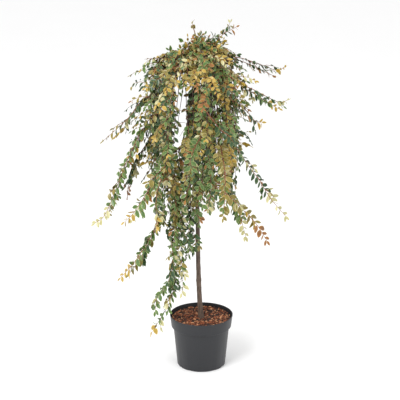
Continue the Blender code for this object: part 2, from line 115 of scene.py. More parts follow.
# The Mix node's sockets for colours, whose names repeat, and the octaves of a fine pattern
MIX_SHARE, MIX_FIRST, MIX_SECOND, MIX_RESULT = 0, 6, 7, 2
PATTERN_DETAIL = 3.0

# Bark relief: the noise scales of its furrows and lumps, and the lumps' strength beside the furrows'
FURROWS_ACROSS, FURROWS_ALONG = 520, 75
LUMPS = 60
LUMP_DEPTH = 0.8
RELIEF_SEEDS = 97
STEEP = 0.9


@dataclass(frozen=True)
class Trunk:
    """The one stem: its axis and its thickness at each height."""

    foot_z: float = 0.1483
    top_z: float = 0.906
    head_z: float = 0.885
    foot_r: float = 0.0082
    top_r: float = 0.0056
    top_trim: float = 0.97
    taper_power: float = 2.5
    flare: float = 0.0022
    flare_height: float = 0.010
    swelling: float = 0.0056
    swelling_length: float = 0.016
    kick: float = 0.0087
    kick_height: float = 0.08
    lean: float = 0.0055
    knot_z: float = 0.268
    knot: float = 0.0011
    knot_length: float = 0.006

    def x(self, z: float) -> float:
        """How far the axis is to the side at a height.

        Args:
            z: the height.

        Returns:
            The axis's X.
        """
        rise = z - self.foot_z
        kick = self.kick * (1 - math.exp(-max(rise, 0.0) / self.kick_height))
        return -(kick + self.lean * rise / (self.head_z - self.foot_z))

    def axis(self, z: float) -> Vector:
        """The axis's point at a height."""
        return Vector((self.x(z), 0, z))

    def radius(self, z: float) -> float:
        """The radius at a height, with the root flare and the swollen graft.

        Args:
            z: the height.

        Returns:
            The radius, without the bark's relief.
        """
        share = min(max((z - self.foot_z) / (self.top_z - self.foot_z), 0.0), 1.0)
        radius = self.top_r * self.top_trim + (self.foot_r - self.top_r) * (1 - share) ** self.taper_power
        radius += self.flare * math.exp(-max(z - self.foot_z, 0.0) / self.flare_height)
        return radius + self.swelling * math.exp(-(((z - self.head_z) / self.swelling_length) ** 2))

    def thickness(self, share: float) -> float:
        """The radius at a share of the height, with the pruning knot near the foot."""
        z = self.foot_z + (self.top_z - self.foot_z) * share
        return self.radius(z) + self.knot * math.exp(-(((z - self.knot_z) / self.knot_length) ** 2))


TRUNK = Trunk()
HEAD = TRUNK.axis(TRUNK.head_z)


def srgb(red: int, green: int, blue: int) -> Colour:
    """A screen colour as the linear colour that a shader takes.

    Args:
        red: from 0 to 255.
        green: from 0 to 255.
        blue: from 0 to 255.

    Returns:
        The linear colour.
    """
    return tuple(
        part / 255 / 12.92 if part / 255 <= 0.04045 else ((part / 255 + 0.055) / 1.055) ** 2.4
        for part in (red, green, blue)
    )


def around(angle: float, radius: float = 1.0, z: float = 0.0) -> Vector:
    """The point at an angle, a distance and a height round the Z axis."""
    return Vector((radius * math.cos(angle), radius * math.sin(angle), z))


def show(name: str, data: bpy.types.ID) -> bpy.types.Object:
    """Puts data into the scene.

    Args:
        name: the new object's name.
        data: its mesh, camera or lamp.

    Returns:
        The object.
    """
    thing = bpy.data.objects.new(name, data)
    bpy.context.scene.collection.objects.link(thing)
    return thing


class PhotoCamera:
    """The camera of the photograph, and the way from its pixels to places in the row frame."""

    def build(self) -> None:
        """Makes it the scene's camera."""
        data = bpy.data.cameras.new("photo_camera")
        data.sensor_width = SENSOR_MM
        data.lens = CAMERA_FOCAL_PX / IMAGE_SIZE * SENSOR_MM
        camera = show("photo_camera", data)
        camera.location = CAMERA_PLACE
        camera.rotation_euler = (math.radians(90 - CAMERA_PITCH_DEG), 0, 0)
        bpy.context.scene.camera = camera

    @staticmethod
    def place(u: float, v: float, y: float) -> Vector:
        """The point behind a pixel at a depth.

        Args:
            u: the pixel's column.
            v: the pixel's row.
            y: the point's Y.

        Returns:
            The point in the row frame.
        """
        pitch = math.radians(CAMERA_PITCH_DEG)
        right = (u - IMAGE_SIZE / 2) / CAMERA_FOCAL_PX
        rise = (IMAGE_SIZE / 2 - v) / CAMERA_FOCAL_PX
        ahead = math.cos(pitch) + rise * math.sin(pitch)
        ray = Vector((right, ahead, rise * math.cos(pitch) - math.sin(pitch)))
        return CAMERA_PLACE + ray * ((y - CAMERA_PLACE.y) / ray.y)

    @staticmethod
    def seen(point: Vector) -> Span:
        """Where the camera sees a point on the plane of the stem.

        Args:
            point: the point in the row frame.

        Returns:
            X and Z on that plane.
        """
        ray = point - CAMERA_PLACE
        hit = CAMERA_PLACE + ray * (-CAMERA_PLACE.y / ray.y)
        return hit.x, hit.z


class Wire:
    """A shader socket whose arithmetic adds Math nodes."""

    def __init__(self, graph: "Graph", socket: bpy.types.NodeSocket) -> None:
        """Keeps the socket and the graph that its maths is added to."""
        self.graph = graph
        self.socket = socket

    def _with(self, operation: str, first: "Wire | float", second: "Wire | float") -> "Wire":
        """A Math node's result on two values."""
        return self.graph.add("ShaderNodeMath", {0: first, 1: second}, operation=operation)

    def __mul__(self, other: "Wire | float") -> "Wire":
        """The product."""
        return self._with("MULTIPLY", self, other)

    def __add__(self, other: "Wire | float") -> "Wire":
        """The sum."""
        return self._with("ADD", self, other)

    def __sub__(self, other: "Wire | float") -> "Wire":
        """The difference."""
        return self._with("SUBTRACT", self, other)

    def __rsub__(self, other: float) -> "Wire":
        """The difference from a number."""
        return self._with("SUBTRACT", other, self)

    __rmul__ = __mul__
    __radd__ = __add__


class Nodes:
    """A node tree whose nodes are added with their settings, values and links."""

    tree: bpy.types.NodeTree

    def node(self, kind: str, sockets: dict[int | str, object], **settings: object) -> bpy.types.Node:
        """Adds a node.

        Args:
            kind: the node's type.
            sockets: values, wires or outputs by input name or number.
            settings: the node's properties, which are set first.

        Returns:
            The node.
        """
        node = self.tree.nodes.new(kind)
        for key, value in settings.items():
            setattr(node, key, value)
        for key, value in sockets.items():
            self.feed(node.inputs[key], value)
        return node

    def feed(self, socket: bpy.types.NodeSocket, value: object) -> None:
        """Links a wire or an output to a socket, or sets the socket's own value.

        Args:
            socket: the input.
            value: the wire, the output or the plain value.
        """
        source = value.socket if isinstance(value, Wire) else value
        if isinstance(source, bpy.types.NodeSocket):
            self.tree.links.new(source, socket)
        else:
            socket.default_value = source


class Graph(Nodes):
    """The node tree of one material."""

    def __init__(self, name: str) -> None:
        """Makes the material with its shader.

        Args:
            name: the material's name.
        """
        self.material = bpy.data.materials.new(name)
        self.material.use_nodes = True
        self.tree = self.material.node_tree
        self.inputs = self.tree.nodes["Principled BSDF"].inputs

    def add(
        self, kind: str, sockets: dict[int | str, object], output: int | str = 0, **settings: object
    ) -> Wire:
        """Adds a node, as node does, and gives the wire from one of its outputs."""
        return Wire(self, self.node(kind, sockets, **settings).outputs[output])

    def pattern(self, scale: float, stretch: Place) -> Wire:
        """Noise on the piece's Object coordinates.

        Args:
            scale: the pattern's fineness.
            stretch: the fineness along each axis.

        Returns:
            The noise's wire.
        """
        place = self.add("ShaderNodeTexCoord", {}, output="Object")
        scaled = self.add("ShaderNodeMapping", {"Vector": place, "Scale": stretch})
        sockets = {"Vector": scaled, "Scale": scale, "Detail": PATTERN_DETAIL}
        return self.add("ShaderNodeTexNoise", sockets)

    def mix(self, share: Wire, first: Colour, second: Colour) -> Wire:
        """A colour between two others."""
        sockets = {MIX_SHARE: share, MIX_FIRST: (*first, 1), MIX_SECOND: (*second, 1)}
        return self.add("ShaderNodeMix", sockets, output=MIX_RESULT, data_type="RGBA", clamp_factor=True)


@dataclass(frozen=True)
class Finish:
    """A surface of two tones that a fine pattern mixes, with its gloss and its grain."""

    name: str
    tone: Colour
    other: Colour
    roughness: Span
    scale: float
    contrast: float = 1.6
    stretch: Place = (1.0, 1.0, 1.0)
    grain: float = 0.0

    def build(self) -> bpy.types.Material:
        """Makes the material.

        Returns:
            The material.
        """
        graph = Graph(self.name)
        pattern = graph.pattern(self.scale, self.stretch)
        share = pattern * self.contrast - (self.contrast - 1) / 2
        low, high = self.roughness
        graph.feed(graph.inputs["Base Color"], graph.mix(share, self.tone, self.other))
        graph.feed(graph.inputs["Roughness"], pattern * (high - low) + low)
        if self.grain:
            sockets = {"Strength": 1.0, "Distance": self.grain, "Height": pattern}
            graph.feed(graph.inputs["Normal"], graph.add("ShaderNodeBump", sockets))
        return graph.material


POT_PLASTIC = Finish(
    "pot_plastic", srgb(24, 25, 29), srgb(31, 33, 37), (0.38, 0.52), 340.0, grain=0.00006
)
EARTH = Finish("soil", srgb(58, 36, 24), srgb(30, 20, 16), (0.8, 0.95), 500.0, 2.4, grain=0.0008)
STEM_BARK = Finish(
    "stem_bark", srgb(112, 94, 80), srgb(58, 44, 36), (0.62, 0.85), 260.0, 2.0, (1.0, 1.0, 0.22), 0.0006
)
BOUGH_BARK = Finish(
    "bough_bark", srgb(92, 72, 58), srgb(56, 42, 34), (0.6, 0.85), 300.0, 1.8, grain=0.0004
)
OLD_TWIG = Finish("old_twig", srgb(78, 58, 48), srgb(50, 38, 32), (0.6, 0.8), 400.0, grain=0.0002)
YOUNG_TWIG = Finish("young_twig", srgb(142, 84, 60), srgb(112, 66, 42), (0.45, 0.6), 400.0)
FLOOR_PAINT = Finish("floor_paint", (0.94, 0.94, 0.94), (0.95, 0.95, 0.95), (0.8, 0.9), 3.0)


class Tint(Enum):
    """The tints that sprays are dealt, as the blade's two tones and the rim's tone."""

    DEEP = ("deep", srgb(28, 54, 30), srgb(54, 84, 42), srgb(132, 146, 92))
    MATURE = ("mature", srgb(58, 90, 42), srgb(98, 124, 58), srgb(186, 192, 128))
    OLIVE = ("olive", srgb(104, 96, 40), srgb(144, 128, 56), srgb(206, 190, 122))
    GOLD = ("gold", srgb(148, 120, 42), srgb(190, 160, 70), srgb(226, 208, 136))
    # Pale leaves: partly young leaves, partly painted highlight that stands in for the glossy reflections
    # on the leaves
    PALE = ("pale", srgb(158, 156, 104), srgb(204, 196, 146), srgb(226, 220, 180))
    BRONZE = ("bronze", srgb(108, 68, 32), srgb(166, 112, 50), srgb(202, 160, 96))

    @property
    def label(self) -> str:
        """The tint's plain name."""
        return self.value[0]

    def blade(self) -> Finish:
        """The finish of the leaf's blade."""
        label, dark, light, _ = self.value
        return Finish(f"leaf_{label}", dark, light, BLADE_ROUGHNESS, BLADE_PATTERN)

    def rim(self) -> Finish:
        """The finish of the leaf's pale rim.

        Returns:
            The finish.
        """
        label, pale = self.value[0], self.value[3]
        shade = tuple(part * RIM_SHADE for part in pale)
        return Finish(f"leaf_rim_{label}", shade, pale, RIM_ROUGHNESS, RIM_PATTERN)


BLADE_ROUGHNESS, BLADE_PATTERN = (0.26, 0.42), 90.0
RIM_ROUGHNESS, RIM_PATTERN = (0.34, 0.50), 120.0
RIM_SHADE = 0.84

# How often each tint is dealt, in the order of the tints, and the heights and the middle that part them
TOP_Z, GOLDEN_Z, UPPER_Z = 0.90, 0.74, 0.62
GOLDEN_LEFT, GOLDEN_RIGHT = -0.03, 0.07
SHOOT_TINTS = (0.16, 0.40, 0.24, 0.09, 0.09, 0.02)
TOP_TINTS = (0.20, 0.22, 0.31, 0.15, 0.09, 0.03)
GOLDEN_TINTS = (0.17, 0.24, 0.26, 0.17, 0.13, 0.03)
UPPER_TINTS = (0.25, 0.36, 0.21, 0.05, 0.12, 0.01)
LOWER_TINTS = (0.21, 0.47, 0.16, 0.04, 0.12, 0.0)
FRINGE_TIPS = (Tint.BRONZE, Tint.GOLD, Tint.OLIVE, None, None, None)
LONG_TIPS = (Tint.BRONZE, Tint.GOLD, Tint.OLIVE, Tint.PALE)
LONG_LEAVES = (Tint.MATURE, Tint.MATURE, Tint.DEEP, Tint.OLIVE)


class Zone(Enum):
    """The parts of the crown, as the CAD nodes and the record's slots part it."""

    DOME = "dome"
    CURTAIN = "curtain"
    SHOOT = "shoot"

    @property
    def slot(self) -> str:
        """The record's material slot."""
        return f"{self.value}_foliage"

    def nodes(self) -> list[str]:
        """The CAD nodes that this part's twigs and leaves stand for.

        Returns:
            Their names in order.
        """
        starts = {
            Zone.DOME: ("shoulder_", "crown_"),
            Zone.CURTAIN: ("curtain_", "inner_", "lower_"),
            Zone.SHOOT: ("shoot_", "top_"),
        }[self]
        return sorted(name for name in frame["nodes"] if name.startswith(starts))


@dataclass(frozen=True)
class Tress:
    """One arching bough with the curtain that hangs from it."""

    name: str
    azimuth: float
    shoulder_r: float
    shoulder_z: float
    hem_r: float
    hem_z: float
    half_width: float
    root_z: float = HIGH_ROOT_Z

    def out(self) -> Vector:
        """The way that it grows, seen from above."""
        return around(math.radians(self.azimuth))

    def across(self) -> Vector:
        """The level direction across it."""
        return UP.cross(self.out())

    def slope(self, degrees: float) -> Vector:
        """The direction that goes out and rises by an angle."""
        angle = math.radians(degrees)
        return self.out() * math.cos(angle) + UP * math.sin(angle)

    def point(self, out: float, across: float, z: float) -> Vector:
        """A point by its distance from the stem's head, its side offset and its height."""
        place = HEAD + self.out() * out + self.across() * across
        return Vector((place.x, place.y, z))

    def root(self) -> Vector:
        """Where the bough leaves the stem, just inside the bark."""
        return TRUNK.axis(self.root_z) + self.out() * TRUNK.radius(self.root_z) * ROOT_DEPTH

    def arch(self, lift: float, out: float, across: float) -> list[Vector]:
        """The line from the stem over the dome to the shoulder.

        Args:
            lift: the length of the first handle, which sets how high the arch goes.
            out: how far past the shoulder's own radius it lands.
            across: how far to the side it lands.

        Returns:
            Points along the line.
        """
        start = self.root()
        end = self.point(self.shoulder_r + out, across, self.shoulder_z)
        first = start + self.slope(LAUNCH_DEG + min(lift, LAUNCH_MOST) * LAUNCH_GAIN_DEG) * lift
        first += self.across() * across * ARCH_SPREAD
        least, gain = SHOULDER_HANDLE
        last = end - self.slope(SHOULDER_FALL_DEG) * (least + lift * gain)
        return bezier(start, first, last, end)

    def hanging(self, out: float, across: float, reach: float) -> list[Vector]:
        """The line from the shoulder down the curtain.

        Args:
            out: how far past the shoulder's own radius it starts.
            across: how far to the side it hangs.
            reach: the share of the curtain's length that it goes down.

        Returns:
            Points along the line.
        """
        start = self.point(self.shoulder_r + out, across, self.shoulder_z)
        low = self.shoulder_z + (self.hem_z - self.shoulder_z) * reach
        radius = self.shoulder_r + (self.hem_r - self.shoulder_r) * reach
        end = self.point(radius + out * HEM_OUT, across * HEM_ACROSS, low)
        drop = (start - end).length
        first = start + self.slope(SHOULDER_FALL_DEG) * drop * HANGING_HANDLE
        return bezier(start, first, end + UP * drop * HANGING_HANDLE, end)


@dataclass(frozen=True)
class Inner:
    """Short growth that hangs close round the stem under the head."""

    azimuth: float
    reach: float
    hem_z: float


@dataclass(frozen=True)
class Shoot:
    """A long shoot that leaves the crown.

    The trace holds the stations between its root and its tip that the photograph shows, as pixel columns
    and rows, and is empty for a shoot that it doesn't show.
    """

    parent: str
    station: float
    tip: Place
    trace: tuple[Span, ...] = ()


@dataclass(frozen=True)
class Route:
    """A strand's line in the photograph, at one depth.

    The trace holds its pixel columns and rows below the stem's head.
    """

    y: float
    trace: tuple[Span, ...]

    def line(self) -> list[Vector]:
        """The line from the stem's head, on the strand's own side of it."""
        head = HEAD + Vector((0, math.copysign(BARK_OFFSET, self.y), 0))
        return through([head, *(PhotoCamera.place(u, v, self.y) for u, v in self.trace)])


TRESSES = (
    Tress("left", 180, 0.120, 0.900, 0.133, 0.49, 0.034),
    Tress("left_front", 208, 0.118, 0.895, 0.092, 0.46, 0.030, LOW_ROOT_Z),
    Tress("front_left", 236, 0.132, 0.880, 0.160, 0.57, 0.022),
    Tress("front", 276, 0.112, 0.885, 0.135, 0.54, 0.028, LOW_ROOT_Z),
    Tress("front_right", 305, 0.106, 0.880, 0.122, 0.56, 0.030),
    Tress("right_front", 335, 0.098, 0.880, 0.112, 0.60, 0.028, LOW_ROOT_Z),
    Tress("right", 8, 0.096, 0.885, 0.112, 0.52, 0.030),
    Tress("back_right", 44, 0.104, 0.885, 0.130, 0.50, 0.032, LOW_ROOT_Z),
    Tress("back", 82, 0.112, 0.890, 0.130, 0.47, 0.028),
    Tress("back_left", 140, 0.118, 0.895, 0.128, 0.51, 0.030, LOW_ROOT_Z),
)
INNERS = (
    Inner(255, 0.052, 0.375),
    Inner(318, 0.055, 0.50),
    Inner(22, 0.055, 0.56),
    Inner(86, 0.055, 0.48),
)
SHOOTS = (
    Shoot("curtain_left", 0.12, (-0.282, -0.030, 0.711), ((152, 94), (140.5, 102.4), (127.3, 119))),
    Shoot(
        "curtain_left", 0.34, (-0.309, -0.060, 0.470),
        ((158.9, 122.5), (144.5, 127.6), (137, 139.7), (125.6, 164.4), (117, 186.7), (104.9, 214.9)),
    ),
    Shoot(
        "curtain_left", 0.46, (-0.219, 0.030, 0.524),
        ((149.7, 139.7), (137.6, 157.5), (130.2, 177.6)),
    ),
    Shoot(
        "curtain_front_left", 0.62, (-0.220, -0.130, 0.497),
        ((172, 160.4), (156.6, 174.7), (149.7, 187.9), (139.9, 204), (132.5, 214.3)),
    ),
    Shoot(
        "curtain_left_front", 0.90, (-0.238, -0.060, 0.300),
        ((163.8, 214.7), (158.2, 223.7), (149, 239.8), (139.8, 254.3), (132.2, 265)),
    ),
    Shoot(
        "shoulder_right", 0.62, (0.240, 0.020, 0.916),
        ((221.3, 56.7), (238.1, 57.5), (253.5, 62), (264.2, 65.9), (276.4, 70.1)),
    ),
    Shoot(
        "shoulder_right_front", 0.96, (0.243, -0.040, 0.832),
        ((232, 76.6), (243.5, 85), (253.5, 89.6), (266.5, 96.5), (279.5, 102.6)),
    ),
    Shoot(
        "curtain_right_front", 0.16, (0.172, -0.040, 0.768),
        ((235.9, 102.6), (246.6, 111), (255, 121)),
    ),
    Shoot(
        "curtain_front", 0.14, (0.238, -0.170, 0.528),
        ((220, 129), (229, 136), (236.5, 148.2), (249.1, 166.5), (259.6, 180.5), (270.2, 198)),
    ),
    Shoot(
        "curtain_front_right", 0.86, (0.188, -0.130, 0.440),
        ((212.6, 184), (224.6, 191.8), (235, 202.3), (254.7, 221.9)),
    ),
    Shoot(
        "curtain_right_front", 0.92, (0.130, -0.070, 0.432),
        ((219, 172.8), (224.6, 183.3), (230.2, 191.8), (237.9, 208.6)),
    ),
    Shoot("curtain_front", 0.40, (-0.045, -0.250, 0.655)),
    Shoot("curtain_front_right", 0.52, (0.060, -0.240, 0.545)),
    Shoot("curtain_front_left", 0.74, (-0.125, -0.222, 0.510)),
    Shoot("curtain_back", 0.18, (-0.018, 0.260, 0.745)),
    Shoot("curtain_back_right", 0.36, (0.095, 0.230, 0.600)),
    Shoot("curtain_back_left", 0.52, (-0.115, 0.235, 0.560)),
    Shoot("curtain_back", 0.70, (0.030, 0.225, 0.420)),
    Shoot("crown_centre", 0.80, (0.098, 0.0, 1.036), ((212.9, 43.7), (222.8, 34.5), (229, 30.7))),
    Shoot("crown_centre", 0.90, (-0.024, 0.0, 1.040)),
)
MIDDLE_STRANDS = (
    Route(-0.062, ((191, 112), (185, 146), (181, 190), (183, 232))),
    Route(-0.040, ((190, 99), (190.5, 140), (190.5, 189), (190, 246))),
    Route(-0.070, ((190, 112), (180, 150), (175, 172), (176, 205), (177, 240))),
    Route(0.030, ((191, 112), (187, 150), (184, 205), (186, 225))),
    Route(-0.055, ((190, 114), (179, 160), (174, 205), (172, 238), (174, 268))),
    Route(-0.050, ((190, 116), (183, 155), (180, 195), (181, 238), (183, 288))),
)
LOWER_TRESS = (
    (
        Vector((-0.074, -0.046, 0.600)),
        Vector((-0.078, -0.048, 0.420)),
        Vector((-0.079, -0.048, 0.290)),
        Vector((-0.096, -0.052, 0.215)),
        Vector((-0.132, -0.060, 0.152)),
    ),
    (
        Vector((-0.079, -0.048, 0.300)),
        Vector((-0.112, -0.050, 0.262)),
        Vector((-0.142, -0.054, 0.212)),
    ),
)


@dataclass(frozen=True)
class Gap:
    """A patch of sky in the crown, on the stem's plane as the camera sees it."""

    left: float
    right: float
    low: float
    high: float
    kept: float

    def holds(self, point: Vector) -> bool:
        """Whether the camera sees a point in this patch, which narrows towards its foot.

        Args:
            point: the point in the row frame.

        Returns:
            True where it is in the patch.
        """
        x, z = PhotoCamera.seen(point)
        if not self.low < z < self.high:
            return False
        narrow = GAP_TAPER * (self.high - z) / (self.high - self.low) * (self.right - self.left)
        return self.left + narrow * GAP_SIDE < x < self.right - narrow * GAP_SIDE


GAPS = (
    Gap(-0.080, -0.030, 0.712, 0.862, 0.16),
    Gap(0.006, 0.040, 0.775, 0.812, 0.35),
    Gap(0.016, 0.250, 0.100, 0.385, 0.0),
)


def bezier(a: Vector, b: Vector, c: Vector, d: Vector) -> list[Vector]:
    """Points along a cubic curve, one for each step of a stem's path.

    Args:
        a: its start.
        b: the first handle.
        c: the second handle.
        d: its end.

    Returns:
        The points from start to end.
    """
    count = max(4, round(((b - a).length + (c - b).length + (d - c).length) / PATH_STEP))
    line = []
    for step in range(count + 1):
        t = step / count
        line.append(a * (1 - t) ** 3 + b * 3 * t * (1 - t) ** 2 + c * 3 * t * t * (1 - t) + d * t**3)
    return line


def through(points: Sequence[Vector]) -> list[Vector]:
    """A smooth line through given points.

    Args:
        points: two or more points.

    Returns:
        Points along the line.
    """
    padded = [points[0] * 2 - points[1], *points, points[-1] * 2 - points[-2]]
    line = [points[0].copy()]
    for before, start, end, after in zip(padded, padded[1:], padded[2:], padded[3:]):
        line += bezier(start, start + (end - before) / 6, end - (after - start) / 6, end)[1:]
    return line


def at(line: Sequence[Vector], share: float) -> Vector:
    """The point at a share of a line's steps.

    Args:
        line: the line's points.
        share: from 0 at its start to 1 at its end.

    Returns:
        The point.
    """
    place = min(max(share, 0.0), 1.0) * (len(line) - 1)
    index = min(int(place), len(line) - 2)
    return line[index].lerp(line[index + 1], place - index)


def way_at(line: Sequence[Vector], share: float, reach: float) -> Vector:
    """A line's direction at a share of it, taken over a reach to each side."""
    return (at(line, share + reach) - at(line, share - reach)).normalized()


def length_of(line: Sequence[Vector]) -> float:
    """A line's length."""
    return sum((b - a).length for a, b in zip(line, line[1:]))


def outward(point: Vector) -> Vector:
    """The level direction away from the stem at a point."""
    flat = Vector((point.x - TRUNK.x(point.z), point.y, 0))
    return flat.normalized() if flat.length > NEAR_AXIS else Vector((0, -1, 0))


def add_mesh(
    name: str, points: Sequence[Sequence[float]], faces: Sequence[Face] = (), edges: Sequence[Face] = ()
) -> bpy.types.Object:
    """A new object in the scene from points with faces, edges or neither.

    Args:
        name: the name of the object and of its mesh.
        points: its places.
        faces: the numbers of each face's corners.
        edges: the numbers of each edge's ends.

    Returns:
        The object.
    """
    mesh = bpy.data.meshes.new(name)
    mesh.from_pydata([tuple(point) for point in points], list(edges), list(faces))
    return show(name, mesh)


def add_solid(name: str, points: Sequence[Sequence[float]], faces: Sequence[Face]) -> bpy.types.Object:
    """A new object from a closed mesh, with its faces turned outwards.

    Args:
        name: the name of the object and of its mesh.
        points: its places.
        faces: the numbers of each face's corners.

    Returns:
        The object.
    """
    thing = add_mesh(name, points, faces)
    solid = bmesh.new()
    solid.from_mesh(thing.data)
    bmesh.ops.recalc_face_normals(solid, faces=solid.faces)
    solid.to_mesh(thing.data)
    solid.free()
    return thing


def mark(
    thing: bpy.types.Object, label: str, kind: str, values: Sequence[float], domain: str = "POINT"
) -> None:
    """Gives a mesh an attribute.

    Args:
        thing: the mesh's object.
        label: the attribute's name.
        kind: its type.
        values: all its values in one row.
        domain: what carries it.
    """
    key = "vector" if kind == "FLOAT_VECTOR" else "value"
    thing.data.attributes.new(label, kind, domain).data.foreach_set(key, values)


def smooth(thing: bpy.types.Object, sharp_deg: float) -> None:
    """Shades a mesh smooth, except where it bends by more than an angle."""
    thing.data.shade_smooth()
    thing.data.set_sharp_from_angle(angle=math.radians(sharp_deg))


def settle(thing: bpy.types.Object, name: str) -> bpy.types.Object:
    """Takes what the modifiers make of a thing, and removes the thing.

    Args:
        thing: the object with its modifiers.
        name: the new object's name.

    Returns:
        The plain object.
    """
    bpy.context.view_layer.update()
    depsgraph = bpy.context.evaluated_depsgraph_get()
    mesh = bpy.data.meshes.new_from_object(thing.evaluated_get(depsgraph), depsgraph=depsgraph)
    bpy.data.objects.remove(thing)
    mesh.name = name
    return show(name, mesh)


def hand_over(piece: bpy.types.Object, nodes: Sequence[str]) -> None:
    """Puts a finished piece on the plant's body, in place of its CAD nodes.

    Args:
        piece: the piece.
        nodes: the CAD nodes that it stands for.
    """
    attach(piece, BODY)
    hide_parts(*nodes)
    LOG.info("%s: %d faces", piece.name, len(piece.data.polygons))


def lathe(name: str, profile: Sequence[Span], sides: int) -> bpy.types.Object:
    """Turns a profile round the Z axis.

    Args:
        name: the object's name.
        profile: radii and heights from one end on the axis to the other.
        sides: the number of steps round.

    Returns:
        The closed object.
    """
    points = [Vector((0, 0, profile[0][1]))]
    for radius, z in profile[1:-1]:
        points += [around(math.tau * side / sides, radius, z) for side in range(sides)]
    points.append(Vector((0, 0, profile[-1][1])))
    faces: list[Face] = []
    rings = len(profile) - 2
    for side in range(sides):
        after = (side + 1) % sides
        faces.append((0, 1 + side, 1 + after))
        for ring in range(rings - 1):
            low, high = 1 + ring * sides, 1 + (ring + 1) * sides
            faces.append((low + side, high + side, high + after, low + after))
        last = 1 + (rings - 1) * sides
        faces.append((last + side, len(points) - 1, last + after))
    return add_solid(name, points, faces)


class NodeTree(Nodes):
    """A Geometry Nodes tree that is built by name and run on an object."""

    def __init__(self, name: str, inputs: dict[str, str]) -> None:
        """Makes the tree's sockets.

        Args:
            name: the tree's name.
            inputs: the type of each input but the geometry, by its name.
        """
        self.tree = bpy.data.node_groups.new(name, "GeometryNodeTree")
        face = self.tree.interface
        face.new_socket("Geometry", in_out="INPUT", socket_type="NodeSocketGeometry")
        self.sockets = {
            label: face.new_socket(label, in_out="INPUT", socket_type=kind).identifier
            for label, kind in inputs.items()
        }
        face.new_socket("Geometry", in_out="OUTPUT", socket_type="NodeSocketGeometry")
        self.entry = self.tree.nodes.new("NodeGroupInput").outputs
        self.exit = self.tree.nodes.new("NodeGroupOutput").inputs

    def add(self, kind: str, sockets: dict[int | str, object], **settings: object) -> bpy.types.NodeSocket:
        """Adds a node, as node does, and gives its first output."""
        return self.node(kind, sockets, **settings).outputs[0]

    def named(self, name: str, data_type: str) -> bpy.types.NodeSocket:
        """The socket of an attribute."""
        node = self.node("GeometryNodeInputNamedAttribute", {"Name": name}, data_type=data_type)
        return next(socket for socket in node.outputs if socket.enabled and socket.name == "Attribute")

    def coat(self, geometry: bpy.types.NodeSocket, label: str, **more: object) -> bpy.types.NodeSocket:
        """The geometry with the material of an input."""
        sockets = {"Geometry": geometry, "Material": self.entry[label], **more}
        return self.add("GeometryNodeSetMaterial", sockets)

    def run(self, thing: bpy.types.Object, name: str, values: dict[str, object]) -> bpy.types.Object:
        """Runs the tree on an object.

        Args:
            thing: the object, which is used up.
            name: the result's name.
            values: the inputs' values, by their names.

        Returns:
            The plain object that it makes.
        """
        modifier = thing.modifiers.new(name, "NODES")
        modifier.node_group = self.tree
        for label, value in values.items():
            modifier[self.sockets[label]] = value
        return settle(thing, name)


class Scatter(NodeTree):
    """Sets small shapes on points, each turned, sized and picked by the point's own attributes."""

    def __init__(self) -> None:
        """Builds the tree."""
        super().__init__(
            "scatter",
            {
                "Shapes": "NodeSocketCollection",
                "Size": "NodeSocketFloat",
                "Face": "NodeSocketMaterial",
                "Rim": "NodeSocketMaterial",
            },
        )
        picked = {"Collection": self.entry["Shapes"], "Separate Children": True, "Reset Children": True}
        shapes = self.add("GeometryNodeCollectionInfo", picked)
        turn = self.add("FunctionNodeEulerToRotation", {0: self.named("turn", "FLOAT_VECTOR")})
        sizes = {0: self.named("size", "FLOAT"), 1: self.entry["Size"]}
        placed = self.add(
            "GeometryNodeInstanceOnPoints",
            {
                "Points": self.entry["Geometry"],
                "Instance": shapes,
                "Pick Instance": True,
                "Instance Index": self.named("variant", "INT"),
                "Rotation": turn,
                "Scale": self.add("ShaderNodeMath", sizes, operation="MULTIPLY"),
            },
        )
        faced = self.coat(self.add("GeometryNodeRealizeInstances", {"Geometry": placed}), "Face")
        self.feed(self.exit[0], self.coat(faced, "Rim", Selection=self.named("rim", "BOOLEAN")))


class Rods(NodeTree):
    """Gives lines of edges a round section of the thickness that their points carry."""

    def __init__(self) -> None:
        """Builds the tree."""
        super().__init__("rods", {"Sides": "NodeSocketInt", "Bark": "NodeSocketMaterial"})
        line = self.add("GeometryNodeMeshToCurve", {"Mesh": self.entry["Geometry"]})
        thickness = self.named("thickness", "FLOAT")
        sized = self.add("GeometryNodeSetCurveRadius", {"Curve": line, "Radius": thickness})
        section = {"Resolution": self.entry["Sides"], "Radius": 1.0}
        ring = self.add("GeometryNodeCurvePrimitiveCircle", section, mode="RADIUS")
        sockets = {"Curve": sized, "Profile Curve": ring, "Fill Caps": True}
        tube = self.node("GeometryNodeCurveToMesh", sockets)
        if "Scale" in tube.inputs:
            self.feed(tube.inputs["Scale"], thickness)
        real = self.add("GeometryNodeRealizeInstances", {"Geometry": tube.outputs[0]})
        self.feed(self.exit[0], self.coat(real, "Bark"))


@dataclass
class Cloud:
    """Points that carry the turn, size and variant of the shape to be set on them."""

    places: list[Vector] = field(default_factory=list)
    turns: list[Vector] = field(default_factory=list)
    sizes: list[float] = field(default_factory=list)
    variants: list[int] = field(default_factory=list)

    def put(self, place: Vector, axis: Vector, normal: Vector, size: float, variant: int) -> None:
        """Adds a point.

        Args:
            place: where it is.
            axis: the way that the shape's length runs.
            normal: the way that its face looks.
            size: its length.
            variant: the number of the shape.
        """
        along = axis.normalized()
        side = normal.cross(along).normalized()
        turn = Matrix((along, side, along.cross(side))).transposed().to_euler()
        self.places.append(place)
        self.turns.append(Vector(turn))
        self.sizes.append(size)
        self.variants.append(variant)

    def to_object(self, name: str) -> bpy.types.Object:
        """The points as a mesh with attributes.

        Args:
            name: the object's name.

        Returns:
            The object.
        """
        thing = add_mesh(name, self.places)
        mark(thing, "turn", "FLOAT_VECTOR", [part for turn in self.turns for part in turn])
        mark(thing, "size", "FLOAT", self.sizes)
        mark(thing, "variant", "INT", self.variants)
        return thing


